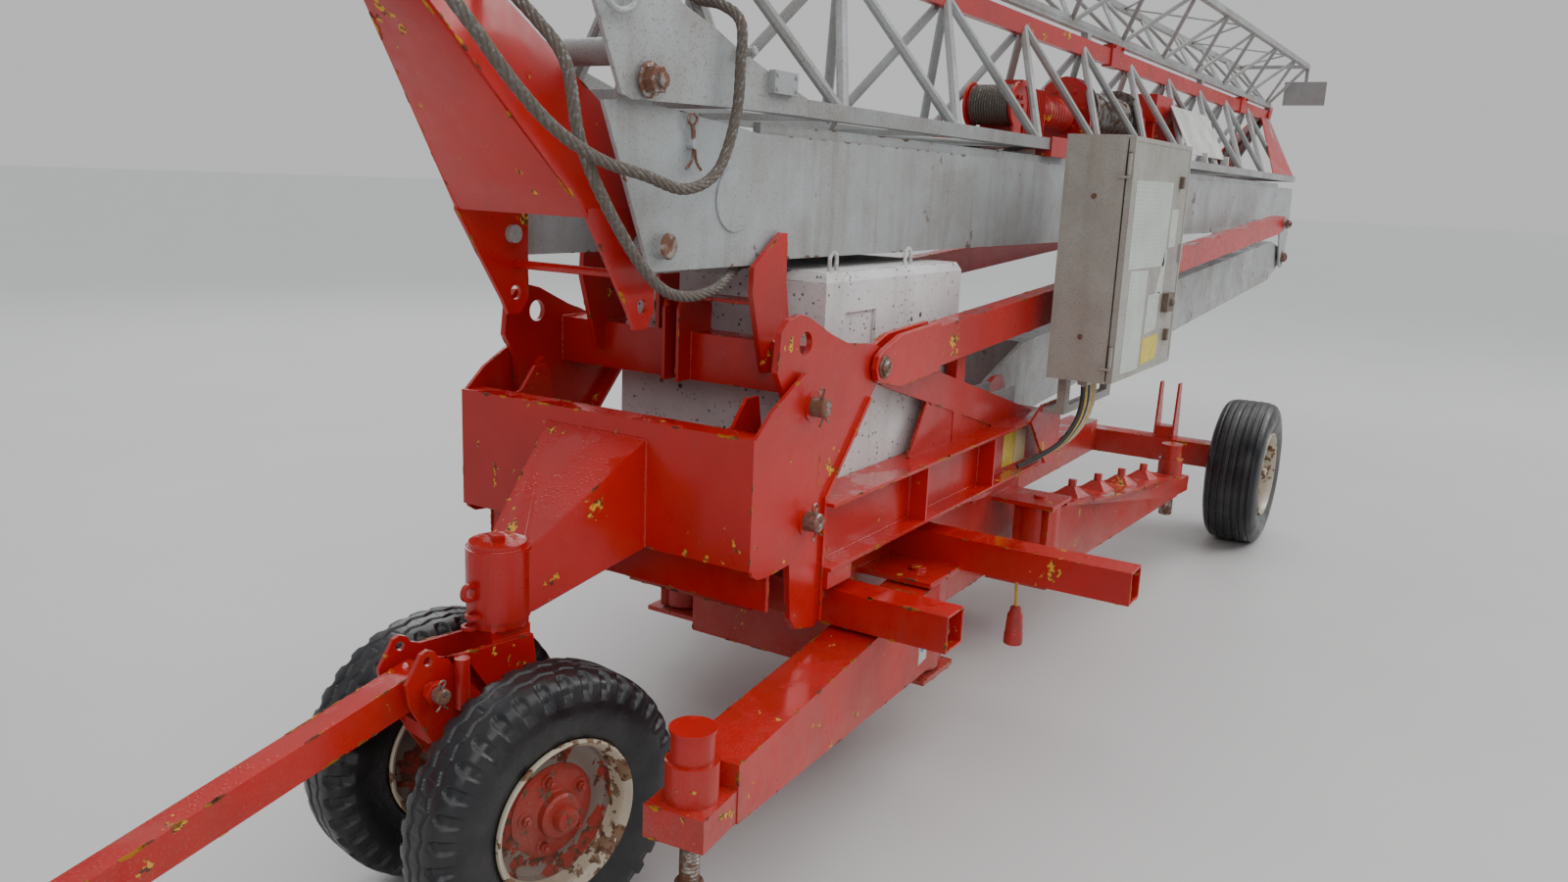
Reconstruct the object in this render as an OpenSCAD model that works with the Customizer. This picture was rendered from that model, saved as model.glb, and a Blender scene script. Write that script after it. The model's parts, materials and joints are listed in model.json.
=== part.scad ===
// Self-erecting tower crane, folded and standing on its road axles.
// Millimetres, +Z up, +X from the drawbar to the rear end, -Y is the cabinet side.
// Drawn from the kingpin (x = 0) and moved at the end so that the middle of the length is x = 0.

/* [Mast] */
// Half width of the upper mast over its side plates
mast_hw = 300; // [200:1:400]
// Underside of the upper mast above the ground
mast_z0 = 1770; // [1500:1:2000]
// Height of the upper mast box
mast_h = 360; // [250:1:500]
// Half width of the lower mast
low_hw = 265; // [180:1:290]
// Height of the lower mast box
low_h = 350; // [250:1:400]

/* [Jib] */
// Height of the lower chords of the jib, centre line
jib_z = 2215; // [2180:1:2400]
// Height of the red ridge chord, centre line
ridge_z = 2780; // [2500:1:3000]
// Length of one lattice bay
bay = 900; // [600:10:1200]

/* [Platform] */
// Half width of the front plate and of the ballast frame
frame_hw = 545; // [450:1:700]
// Upper edge of the front plate
front_zt = 1328; // [1200:1:1500]
// Lower edge of the front plate
front_zb = 961; // [850:1:1100]
// Half width over the platform beams
beam_hw = 556; // [530:1:580]

/* [Running gear] */
// Tyre radius of the front wheels
tyre_r = 383; // [360:1:400]
// Width of a front tyre
tyre_w = 200; // [150:1:220]
// Tyre radius of the rear wheels
rear_r = 422; // [380:1:450]
// Width of a rear tyre
rear_w = 300; // [240:1:320]
// Distance from the kingpin to the rear axle
wheelbase = 5143; // [4900:1:6500]
// Half width over the rear tyres
rear_hw = 1127; // [1080:1:1230]
// Angle the dolly is steered to in the photograph
steer = 11; // [0:1:30]
// Length of the drawbar from its pin to its eye
bar_l = 2250; // [1500:10:2600]

/* [Outriggers] */
// Distance from the swivel pin of a leg to its jack
leg_l = 1640; // [1200:10:2200]
// Angle a folded leg makes with the length of the crane
leg_a = 6.5; // [0:0.5:8]
// Angle of the far front leg, which is folded to the rear
far_leg_a = 21.5; // [20:0.5:22]

/* [Hidden] */
x_mid = 3773.08;
axle_x = -30;
bar_pin = [-250, 715];
leg_z = [300, 628];
front_end = [468, 625];
rear_end = [385, 495];
frame_pins = [[690, 1379], [683, 1043]];
foot = [2730, 1110];
knee = [9800, 1500];
stay0 = [1130, 1444];
stay1 = [8200, 1834];
low_a = atan2(knee[1] - foot[1], knee[0] - foot[0]);
low_l = norm(knee - foot);
bays = 10;
jib_end = 9840;
leg_y = 515;
// Points of the hanging cables, chosen by hand
rope_a = [[-575, -105.3, 2700], [-565, -105.3, 2640], [-530, -190, 2500], [-440, -330, 2330], [-310, -370, 2180], [-180, -370, 2090],
  [-30, -370, 2030], [130, -370, 2000], [290, -375, 1970], [430, -375, 2020], [505, -375, 2160], [520, -375, 2290], [530, -365, 2400], [550, -290, 2450],
  [578, -200, 2470], [583, -151, 2492]];
rope_b = [[-140, -105.5, 2455], [-100, -124, 2420], [-75, -210, 2340], [-70, -300, 2240], [-50, -330, 2060], [60, -345, 1880],
  [190, -360, 1740], [330, -345, 1695], [500, -320, 1700], [640, -275, 1730], [740, -240, 1752], [820, -220, 1754.5]];
cable_route = [[2560, -745, 1236], [2560, -745, 1150], [2535, -730, 1070], [2480, -690, 990], [2400, -620, 930], [2340, -572, 900]];

red = [0.75, 0.07, 0.05];
grey = [0.72, 0.74, 0.75];
white = [0.86, 0.86, 0.83];
black = [0.07, 0.07, 0.08];
cream = [0.75, 0.71, 0.6];
steel = [0.45, 0.43, 0.42];

// Box from its two corners
module bx(a, b) {
  translate(a) cube(b - a);
}

// Plate in the x-z plane between y0 and y1
module pl(p, y0, y1) {
  translate([0, y1, 0]) rotate([90, 0, 0]) linear_extrude(y1 - y0) polygon(p);
}

// Round bar along y
module ybar(x, z, y0, y1, r, n = 32) {
  translate([x, y1, z]) rotate([90, 0, 0]) cylinder(r = r, h = y1 - y0, $fn = n);
}

// Same thing on both sides
module both() {
  children();
  mirror([0, 1, 0]) children();
}

// Round bar between two points
module rod(a, b, r, n = 8) {
  d = b - a;
  l = norm(d);
  translate(a) rotate([0, acos(d[2] / l), atan2(d[1], d[0])]) cylinder(r = r, h = l, $fn = n);
}

module at_frame() {
  translate([-x_mid, 0, 0]) children();
}

// Ballast frame front and gooseneck
module front_frame() {
  color(red) at_frame() difference() {
    union() {
      bx([390, -frame_hw, front_zb], [402, frame_hw, front_zt]);
      bx([402, -frame_hw + 12, front_zt - 12], [470, frame_hw - 12, front_zt]);
      bx([402, -frame_hw + 12, front_zb], [620, frame_hw - 12, front_zb + 12]);
      bx([620, -500, front_zb], [700, 500, front_zb + 12]);
      bx([500, -frame_hw + 12, 813], [512, frame_hw - 12, front_zb]);
      both() pl([[402, 949], [402, front_zt], [477, 1392], [647, 1480], [690, 1470], [745, 1400], [745, 1010], [680, 960],
        [602, 931], [483, 925], [430, 930]], frame_hw - 12, frame_hw);
      for (p = frame_pins) {
        both() ybar(p[0], p[1], 475, frame_hw + 45, 28, 32);
        both() ybar(p[0], p[1], frame_hw, frame_hw + 4, 44, 32);
      }
      both() pl([[402, front_zb + 12], [402, 1300], [500, 1330], [560, 1400], [620, 1400], [640, 1300], [640, front_zb + 12]], 395, 407);
      hull() {
        bx([30, -74, 842], [60, 74, 1010]);
        bx([386, -185, front_zb], [390, 185, 1275]);
      }
      translate([0, 0, 835]) cylinder(r = 85, h = 192, $fn = 48);
      bx([-104, -6, 896], [-75, 6, 948]);
      translate([-104, 6, 922]) rotate([90, 0, 0]) cylinder(r = 26, h = 12, $fn = 24);
      translate([-88, 0, 850]) ring_lug();
      translate([0, 0, 1027]) cylinder(r = 76, h = 14, $fn = 48);
      translate([0, 0, 1041]) cylinder(r = 20, h = 14, $fn = 6);
    }
    translate([0, 0, 830]) cylinder(r = 45.05, h = 185, $fn = 48);
    translate([-104, 30, 922]) rotate([90, 0, 0]) cylinder(r = 14, h = 60, $fn = 24);
  }
}

// Tall side plates with lifting eyes, cross tube, mast rest and stay lugs
module ballast_cradle() {
  color(red) at_frame() union() {
    both() difference() {
      union() {
        pl([[660, 740], [582, 1412], [532, 1489], [546, 1596], [586, 1631], [645, 1642], [692, 1631], [826, 1571], [930, 1535],
          [1110, 1515], [1170, 1490], [1190, 1440], [1130, 1385], [951, 1195], [829, 1070], [829, 690], [800, 672], [690, 700]],
          500, 520);
        pl([[1085, 1345], [951, 1203], [829, 1074], [829, 690], [815, 690], [815, 1080], [940, 1211], [1074, 1354]], 460, 532);
      }
      ybar(679, 1556, 480, 540, 34);
      for (p = frame_pins) ybar(p[0], p[1], 480, 540, 28.05);
    }
    bx([800, -500, 1380], [905, 500, 1530]);
    for (s = [-1, 1]) pl([[735, 1380], [735, 1605], [745, 1628], [768, 1640], [905, 1640], [905, 1530], [800, 1530], [800, 1380]],
      s * 27 - 6, s * 27 + 6);
    bx([800, -312, 1632], [905, -33, 1644]);
    bx([800, 95, 1530], [905, 110, 1700]);
    both() pl([[760, 1440], [685, 1680], [690, 1755], [833, 1852], [865, 1850], [870, 1700], [905, 1530], [905, 1440]], 312, 330);
    both() ybar(stay0[0], stay0[1], 460, 500, 20, 24);
    both() ybar(stay0[0], stay0[1], 520, 556, 20, 24);
  }
}

// Longitudinal beams with stiffeners, braces, posts and rear cross beam
module platform_frame() {
  x0 = 829;
  x1 = 2850;
  inner = beam_hw - 150;
  color(red) at_frame() union() {
    both() {
      bx([x0, inner, 1050], [x1, beam_hw, 1062]);
      bx([x0, inner, 847], [x1, beam_hw, 859]);
      bx([x0, beam_hw - 80, 859], [x1, beam_hw - 70, 1050]);
      for (x = [1500, 2120]) bx([x, inner + 2, 859], [x + 12, beam_hw - 2, 1050]);
      bx([x0, inner + 40, 790], [980, beam_hw - 10, 847]);
      pl([[1100, 1385], [1100, 1480], [1240, 1490], [2771, 1062], [2306, 1062], [1249, 1365]], 440, 460);
      pl([[1540, 1060], [1663, 1250], [2310, 1060]], 444, 456);
      bx([1905, inner + 9, 1060], [1985, 460, 1480]);
      pl([[2480, 1062], [2600, 1120], [2830, 1120], [x1, 1062], [x1, 847], [2700, 847]], beam_hw, beam_hw + 12);
      bx([2200, 300, 1090], [2640, 400, 1102]);
      bx([2200, 300, 1062], [2640, 312, 1090]);
      pl([[2560, 1062], [2640, 1180], [2690, 1200], [2770, 1200], [2820, 1150], [x1, 1062]], 290, 310);
      bx([2560, 290, 1050], [x1, inner, 1062]);
      ybar(foot[0], foot[1], 235, 290, 30, 32);
    }
    bx([x0, -inner, 974], [860, inner, 1062]);
    bx([720, -inner, 850], [860, inner, 974]);
    bx([2700, -inner, 847], [x1, inner, 920]);
    bx([1500, -inner, 847], [1650, inner, 920]);
    bx([1850, -inner, 847], [2650, inner, 859]);
  }
}

module ballast_block() {
  color(white) at_frame() union() {
    difference() {
      union() {
        hull() {
          bx([990, -400, 930], [2020, 400, 1700]);
          bx([1010, -385, 920], [2000, 385, 1730]);
        }
      }
      bx([1120, -420, 1460], [1330, -388, 1600]);
      bx([1120, 388, 1460], [1330, 420, 1600]);
    }
    for (x = [1113, 1650]) for (y = [-350, 350]) translate([x, y, 1720]) {
      translate([-22, 0, 0]) cylinder(r = 7, h = 45, $fn = 8);
      translate([22, 0, 0]) cylinder(r = 7, h = 45, $fn = 8);
      translate([0, 0, 45]) rotate([90, 0, 0]) rotate_extrude(angle = 180, $fn = 32) translate([22, 0]) circle(r = 7, $fn = 8);
    }
  }
}

module slewing_ring() {
  color(red) at_frame() translate([2250, 0, 0]) difference() {
    union() {
      translate([0, 0, 760]) cylinder(r = 400, h = 87, $fn = 64);
      translate([0, 0, 775]) cylinder(r = 480, h = 40, $fn = 64);
      for (i = [0:23]) rotate(i * 15) translate([440, 0, 812]) cylinder(r = 14, h = 15, $fn = 6);
    }
    translate([0, 0, 755]) cylinder(r = 300, h = 100, $fn = 48);
  }
}

// Centre box of the undercarriage with its cross tubes
module undercarriage() {
  color(red) at_frame() difference() {
    union() {
      bx([1350, -330, 640], [3050, 330, 760]);
      bx([1350, -330, 280], [1362, 330, 640]);
      bx([3038, -330, 280], [3050, 330, 640]);
      bx([1362, -330, 280], [3038, -318, 640]);
      bx([1362, 318, 280], [3038, 330, 640]);
      bx([1362, -318, 280], [3038, 318, 292]);
      bx([860, -250, 640], [1350, 250, 760]);
      both() {
        bx([920, 250, 640], [1040, 910, 760]);
        bx([1690, 330, 640], [1810, 1240, 760]);
        for (x = [1440, 2710]) for (z = [270, 634]) bx([x, 330, z], [x + 250, 620, z + 20]);
        for (x = [1560, 2840]) translate([x, leg_y, 262]) cylinder(r = 30, h = 404, $fn = 48);
        pl([[2050, 600], [2250, 600], [2290, 420], [2050, 420]], 330, 345);
      }
    }
    both() bx([928, 260, 648], [1032, 920, 752]);
    both() bx([1698, 340, 648], [1802, 1250, 752]);
  }
}

// Rear beam, axle and the two pairs of upright plates
module axle_beam() {
  inner_end = rear_hw - rear_w - 40;
  color(red) at_frame() union() {
    bx([3050, -90, 430], [wheelbase - 70, 90, 620]);
    bx([wheelbase - 70, -inner_end, 420], [wheelbase + 70, inner_end, 560]);
    both() {
      bx([wheelbase - 70, inner_end, 350], [wheelbase + 70, inner_end + 10, 560]);
      ybar(wheelbase, rear_r, inner_end, rear_hw - 40, 30, 32);
      for (y = [440, 548]) pl([[wheelbase - 65, 560], [wheelbase + 65, 560], [wheelbase + 28, 900], [wheelbase - 28, 900]], y, y + 12);
      bx([wheelbase - 50, 452, 560], [wheelbase + 50, 548, 630]);
    }
  }
}

module cabinet() {
  color(grey) at_frame() union() {
    difference() {
      bx([2480, -850, 1260], [3390, -610, 2230]);
      bx([2500, -851, 1280], [3370, -612, 2210]);
    }
    bx([2520, -640, 1330], [3350, -612, 2160]);
    for (z = [1330, 2080]) {
      translate([2473, -867, z - 6]) cylinder(r = 4, h = 92, $fn = 24);
      bx([2466, -872, z - 14], [2480, -830, z - 4]);
    }
    cabinet_brackets();
  }
}

module cabinet_brackets() {
  for (x = [2600, 3200]) {
    pl([[x, 1125], [x + 60, 1125], [x + 60, 1260], [x, 1260]], -660, -625);
  }
  bx([2600, -660, 1090], [3260, -625, 1125]);
  bx([2600, -625, 1090], [2800, -568, 1110]);
}

module cabinet_door() {
  color(grey) at_frame() difference() {
    union() {
      bx([2484, -878, 1264], [3388, -856, 2226]);
      for (z = [1330, 2080]) translate([2473, -867, z]) cylinder(r = 8, h = 80, $fn = 24);
      for (z = [1330, 2080]) bx([2475, -872, z + 5], [2490, -862, z + 75]);
      bx([3340, -890, 1720], [3365, -878, 1800]);
    }
    for (z = [1330, 2080]) translate([2473, -867, z - 10]) cylinder(r = 4.05, h = 100, $fn = 24);
  }
}

module cable_bundle() {
  color(black) at_frame() union() {
    for (i = [0:5]) tube([for (c = cable_route) c + [30 * i, 0, 0]], 10, 8, 3);
    bx([2540, -765, 1235], [2730, -725, 1260]);
  }
}

module rod_tray() {
  color(grey) at_frame() union() {
    difference() {
      bx([2060, -440, 1102], [2600, -315, 1190]);
      bx([2050, -432, 1110], [2610, -323, 1200]);
    }
    for (i = [0:3]) rod([2070, -418 + 26 * i, 1117], [2590, -418 + 26 * i, 1117], 9, 8);
  }
}

// Everything that steers with the front axle is drawn straight, then turned
module steered() {
  at_frame() rotate([0, 0, -steer]) children();
}

module dolly_fork() {
  color(red) steered() union() {
    translate([0, 0, 770]) cylinder(r = 45, h = 235, $fn = 48);
    translate([0, 0, 812]) cylinder(r = 80, h = 22, $fn = 48);
    bx([-60, -60, 600], [60, 60, 812]);
    both() difference() {
      pl([[-318, 744], [-309, 684], [-235, 544], [-110, 335], [50, 335], [80, 420], [80, 600], [60, 784], [-199, 786], [-226, 796],
        [-236, 813], [-256, 822], [-276, 815], [-288, 792]], 60, 74);
      ybar(-256, 792, 50, 90, 12, 24);
    }
    bx([-40, -60, 345], [50, 60, 430]);
    bx([-250, -60, 560], [-225, 60, 600]);
    ybar(axle_x, tyre_r, -324, 324, 30, 32);
    ybar(bar_pin[0], bar_pin[1], -92, 92, 20, 24);
    both() ybar(bar_pin[0], bar_pin[1], 88, 108, 32, 6);
    translate([-170, -90, 648]) cylinder(r = 20, h = 136, $fn = 24);
    translate([-88, 0, 814]) ring_lug();
  }
}

// Small eye in front of the post
module ring_lug() {
  difference() {
    union() {
      cylinder(r = 24, h = 10, $fn = 24);
      bx([14, -12, 0], [40, 12, 10]);
    }
    translate([0, 0, -1]) cylinder(r = 14, h = 12, $fn = 24);
  }
}

bar_a = asin(bar_pin[1] / norm([bar_l + 62, 15])) - atan(15 / (bar_l + 62));

module drawbar() {
  color(red) steered() translate([bar_pin[0], 0, bar_pin[1]]) rotate([0, -bar_a, 0]) difference() {
    union() {
      bx([60 - bar_l, -40, -45], [0, 40, 45]);
      ybar(0, 0, -40, 40, 45, 48);
      translate([-bar_l, 0, -15]) cylinder(r = 62, h = 30, $fn = 48);
    }
    translate([-bar_l, 0, -60]) cylinder(r = 30, h = 120, $fn = 48);
    ybar(0, 0, -60, 60, 20.05, 48);
  }
}

// Tyre with its bead hole, width along y, centred
module tyre(r, w, rr) {
  rotate([90, 0, 0]) rotate_extrude($fn = 72)
    polygon([[rr, -w * 0.36], [rr + 20, -w * 0.43], [rr + (r - rr) * 0.5, -w * 0.5], [r - 32, -w * 0.46], [r - 8, -w * 0.37],
      [r, -w * 0.25], [r, w * 0.25], [r - 8, w * 0.37], [r - 32, w * 0.46], [rr + (r - rr) * 0.5, w * 0.5], [rr + 20, w * 0.43], [rr, w * 0.36]]);
}

// Rim with its disc; out = +1 when the outside faces +y
module rim(rr, w) {
  rotate([-90, 0, 0]) difference() {
    rotate_extrude($fn = 64)
      polygon([[0, w * 0.02], [0, w * 0.44], [48, w * 0.44], [56, w * 0.40], [60, w * 0.24], [118, w * 0.16], [150, w * 0.06], [rr - 12, w * 0.10],
        [rr - 12, w * 0.34], [rr - 0.5, w * 0.36], [rr - 0.5, -w * 0.36], [rr - 12, -w * 0.34], [rr - 12, 0], [150, -w * 0.04], [75, w * 0.02]]);
    translate([0, 0, -w]) cylinder(r = 30.05, h = w * 1.38, $fn = 32);
    for (i = [0:4]) rotate(i * 72) translate([rr * 0.76, 0, -w]) cylinder(r = 12, h = 2 * w, $fn = 16);
  }
}

module front_wheel_at(s) {
  steered() translate([axle_x, s * 254, tyre_r]) mirror([0, s < 0 ? 1 : 0, 0]) children();
}

module rear_wheel_at(s) {
  at_frame() translate([wheelbase, s * (rear_hw - rear_w / 2), rear_r]) mirror([0, s < 0 ? 1 : 0, 0]) children();
}

// A leg in its own frame: swivel pin on the z axis, jack at x = leg_l, its end between end[0] and end[1]
module leg(end) {
  color(red) difference() {
    union() {
      pl([[-80, leg_z[0]], [-80, leg_z[1]], [leg_l - 80, end[1]], [leg_l - 80, end[0]]], -85, 85);
      translate([0, 0, leg_z[0]]) cylinder(r = 95, h = leg_z[1] - leg_z[0], $fn = 48);
      bx([leg_l - 80, -82, end[0] + 5], [leg_l + 85, 82, end[0] + 90]);
      translate([leg_l, 0, end[0] + 90]) cylinder(r = 66, h = 100, $fn = 48);
      translate([leg_l, 0, end[0] + 190]) cylinder(r = 54, h = 74, $fn = 48);
      translate([leg_l, 0, end[0] + 264]) cylinder(r = 58, h = 8, $fn = 48);
    }
    translate([0, 0, leg_z[0] - 10]) cylinder(r = 30.05, h = leg_z[1] - leg_z[0] + 20, $fn = 48);
    translate([leg_l, 0, end[0] - 5]) cylinder(r = 26.05, h = 240, $fn = 48);
  }
}

// Plate with four bolts on the sloping top of a rear leg, wider on its outer side s
module leg_plate(s) {
  slope = atan((leg_z[1] - rear_end[1]) / leg_l);
  color(red) translate([-80, 0, leg_z[1]]) rotate([0, slope, 0]) union() {
    translate([0, 0, -2]) linear_extrude(14) polygon([[190, -81 * s], [190, 81 * s], [530, 125 * s], [980, 125 * s], [1330, 100 * s],
      [1560, 81 * s], [1560, -81 * s]]);
    for (i = [0:3]) translate([410 + i * 300, 0, 12]) {
      linear_extrude(40, scale = 0.35) square(130, center = true);
      cylinder(r = 20, h = 75, $fn = 6);
    }
  }
}

module jack(end) {
  color(steel) translate([leg_l, 0, 0]) difference() {
    union() {
      translate([0, 0, 320]) cylinder(r = 26, h = end[0] - 90, $fn = 48);
      translate([0, 0, 250]) cylinder(r = 36, h = 90, $fn = 48);
    }
    translate([0, 50, 285]) rotate([90, 0, 0]) cylinder(r = 12, h = 100, $fn = 24);
  }
}

module leg_front(s) {
  at_frame() translate([1560, s * leg_y, 0]) rotate([0, 0, s < 0 ? 180 + leg_a : far_leg_a]) children();
}

module leg_rear(s) {
  at_frame() translate([2840, s * leg_y, 0]) rotate([0, 0, s * leg_a]) children();
}

// Along the lower mast from its foot
module along_low() {
  at_frame() translate([foot[0], 0, foot[1]]) rotate([0, -low_a, 0]) children();
}

module lower_mast() {
  color(grey) along_low() difference() {
    union() {
      difference() {
        bx([420, -low_hw, -low_h / 2], [low_l - 420, low_hw, low_h / 2]);
        bx([430, -low_hw + 8, -low_h / 2 + 8], [low_l - 430, low_hw - 8, low_h / 2 - 8]);
      }
      both() pl([[0, -70], [-50, -50], [-70, 0], [-50, 50], [0, 70], [420, low_h / 2], [420, -low_h / 2 + 20]], low_hw - 20, low_hw);
      both() pl([[low_l, -90], [low_l + 60, -70], [low_l + 90, 0], [low_l + 60, 70], [low_l, 90], [low_l - 420, low_h / 2], [low_l - 420, -low_h / 2]],
        low_hw - 20, low_hw);
    }
    ybar(0, 0, -400, 400, 30.05, 48);
    ybar(low_l, 0, -400, 400, 30.05, 48);
  }
}

module upper_mast() {
  zt = mast_z0 + mast_h;
  color(grey) at_frame() union() {
    both() ybar(jx, jz, 276, 346, 24, 32);
    both() ybar(jx, jz, mast_hw, 321, 45, 32);
    both() bx([760, 262, zt], [9200, 288, zt + 32]);
    both() {
      pl([[250, mast_z0 - 12], [60, zt + 40], [110, zt + 44], [128, zt + 140], [222, zt + 140], [245, zt + 44], [640, zt + 10], [730, zt],
        [9900, zt], [9960, 1800], [9900, 1420], [9800, 1400], [9700, 1420], [9500, mast_z0], [760, mast_z0], [730, mast_z0 - 12]],
        mast_hw - 12, mast_hw);
    }
    bx([730, -mast_hw + 12, mast_z0], [9460, mast_hw - 12, mast_z0 + 10]);
    bx([730, -mast_hw + 12, zt - 10], [9890, mast_hw - 12, zt]);
    bx([730, -mast_hw + 12, mast_z0 + 10], [742, mast_hw - 12, zt - 10]);
    bx([9450, -mast_hw + 12, mast_z0 + 10], [9460, mast_hw - 12, zt - 10]);
    both() ybar(knee[0], knee[1], 240, mast_hw - 12, 30, 32);
    both() ybar(stay1[0], stay1[1], mast_hw, 556, 25, 32);
    both() ybar(headx, headz, 205, mast_hw - 12, 25, 32);
    both() ybar(headx, headz, mast_hw, mast_hw + 30, 34, 32);
    both() ybar(620, 1945, mast_hw, mast_hw + 5, 90, 48);
    both() ybar(400, 2085, mast_hw, mast_hw + 24, 14, 16);
  }
}

jx = 175;
jz = 2225;
headx = 285;
headz = 1825;

// Stay along its own line
module stay() {
  at_frame() translate([stay0[0], 0, stay0[1]]) rotate([0, -low_a, 0]) difference() {
    union() {
      bx([260, -540, -70], [low_l - 150, -466, 70]);
      pl([[0, -55], [-40, -38], [-55, 0], [-40, 38], [0, 55], [120, 85], [420, 85], [420, -85], [120, -85]], -545, -525);
      pl([[0, -55], [-40, -38], [-55, 0], [-40, 38], [0, 55], [120, 85], [420, 85], [420, -85], [120, -85]], -495, -475);
      pl([[low_l, -60], [low_l + 45, -40], [low_l + 60, 0], [low_l + 45, 40], [low_l, 60], [low_l - 200, 68], [low_l - 200, -68]], -540, -466);
    }
    ybar(0, 0, -600, -400, 20.05, 48);
    ybar(low_l, 0, -600, -400, 25.05, 48);
  }
}

// Head strut: two webs that lean together, parallel cheeks above them, a front plate
strut_z0 = 1890;
strut_z1 = 2400;
strut_a = atan((222 - 78) / (strut_z1 - strut_z0));
function up(z) = (z - strut_z0) / cos(strut_a);

module head_strut() {
  color(red) at_frame() union() {
    both() {
      translate([0, 222, strut_z0]) rotate([strut_a, 0, 0])
        pl([[90, 0], [345, 0], [267, up(2137)], [-46, up(2386)], [-60, up(2410)], [-336, up(2410)]], 0, 12);
      difference() {
        pl([[-312, 2380], [-50, 2380], [-60, 2400], [-470, 2780], [-540, 2830], [-620, 2820], [-650, 2770], [-620, 2756],
          [-328, 2400]], 78, 90);
        ybar(-545, 2750, 60, 100, 20.05, 48);
      }
      difference() {
        pl([[85, 1915], [85, 1890], [250, 1640], [270, 1600], [320, 1600], [350, 1640], [350, 1915]], 222, 234);
        ybar(headx, headz, 200, 300, 25.05, 48);
        ybar(300, 1660, 200, 300, 20, 32);
      }
    }
    hull() {
      bx([90, -226, 1892], [100, 226, 1902]);
      bx([-328, -82, 2390], [-318, 82, 2400]);
    }
    pl([[-320, 2392], [-308, 2392], [-476, 2595], [-488, 2595]], -80, 80);
    ybar(300, 1740, -224, 224, 12, 16);
  }
}

module head_sheave() {
  color(steel) at_frame() union() {
    ybar(-545, 2750, -100, 100, 20, 48);
    ybar(-545, 2750, -30, 30, 70, 48);
    ybar(-545, 2750, -40, -30, 90, 48);
    ybar(-545, 2750, 30, 40, 90, 48);
  }
}

module jib_chords() {
  color(grey) at_frame() union() {
    both() {
      bx([600, 262, jib_z - 25], [jib_end, 322, jib_z + 25]);
      difference() {
        pl([[-30, 2420], [20, 2470], [230, 2480], [315, 2421], [470, 2376], [547, 2347], [741, 2291], [940, jib_z + 25],
          [940, jib_z - 25], [504, 2186], [127, 2176], [87, 2186]], 322, 334);
        ybar(jx, jz, 250, 400, 24.05, 32);
      }
      rod([600, 292, jib_z + 10], [640, 10, ridge_z - 20], 22, 8);
      rod([9810, 292, jib_z + 10], [9810, 10, ridge_z - 20], 22, 8);
      pl([[9760, 2735], [9760, 2800], [9870, 2865], [9905, 2865], [9920, 2840], [9905, 2812], [9840, 2735]], 24, 36);
    }
    ybar(252, 2302, -322, 322, 35, 32);
    bx([600, -262, jib_z - 25], [640, 262, jib_z + 25]);
    bx([9800, -262, jib_z - 25], [9840, 262, jib_z + 25]);
    for (i = [0:bays - 1]) bx([lx(i) - 15, -262, jib_z - 20], [lx(i) + 15, 262, jib_z]);
    ybar(tipx, tipz, -36, 36, 16, 32);
    bx([600, -20, ridge_z - 45], [jib_end, 20, ridge_z + 45]);
    both() bx([9760, 20, 2735], [9800, 24, 2800]);
  }
}

tipx = 9890;
tipz = 2840;

// Lower and ridge nodes of the lattice
function lx(i) = 1230 + i * bay;
function rx(i) = 780 + i * bay;

// One flat side of the lattice: bars from the lower chord to the ridge
module jib_side() {
  difference() {
    for (i = [0:bays - 1]) {
      rod([rx(i), 0, ridge_z], [lx(i), -292, jib_z], 20, 8);
      rod([lx(i), -292, jib_z], [rx(i + 1), 0, ridge_z], 20, 8);
    }
    bx([500, -330, jib_z - 60], [jib_end + 50, -262, jib_z + 25]);
    bx([500, -262, jib_z - 60], [jib_end + 50, -200, jib_z + 2]);
    bx([500, -20, ridge_z - 60], [jib_end + 50, 40, ridge_z + 60]);
    bx([9740, -60, ridge_z - 60], [jib_end + 50, 0, ridge_z + 60]);
  }
}

module jib_winch() {
  color(red) at_frame() union() {
    ybar(3200, 2390, -105, 105, 80, 32);
    both() ybar(3200, 2390, 105, 120, 105, 32);
    both() bx([3150, 105, jib_z], [3250, 120, 2390]);
    bx([3290, -100, jib_z], [3600, 100, 2470]);
    bx([3060, -262, jib_z], [3700, 262, jib_z + 12]);
  }
}

module jib_placard() {
  color(white) at_frame() union() {
    translate([5850, -314, 2227]) rotate([-27.33, 0, 0]) bx([0, -6, 60], [1050, 0, 400]);
    for (x = [6200, 6860]) bx([x, -320, jib_z + 25], [x + 30, -270, jib_z + 90]);
  }
}

module tip_chords() {
  color(grey) at_frame() union() {
    bx([1300, -20, 2856], [9790, 20, 2900]);
    difference() {
      pl([[9780, 2856], [9780, 2900], [9905, 2900], [9925, 2875], [9925, 2830], [9905, 2808], [9875, 2808], [9856, 2830], [9850, 2856]], -20, 20);
      ybar(tipx, tipz, -50, 50, 16.05, 48);
    }
    for (x = [1700, 4400, 7100]) bx([x, -20, 2825], [x + 60, 20, 2856]);
    both() bx([1300, 280, 3200], [9870, 320, 3240]);
    for (x = [1300, 9840]) bx([x, -280, 3205], [x + 30, 280, 3235]);
    both() rod([1320, 10, 2890], [1320, 290, 3210], 14, 8);
    both() rod([9790, 10, 2890], [9850, 290, 3210], 14, 8);
    load_plate();
  }
}

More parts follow.
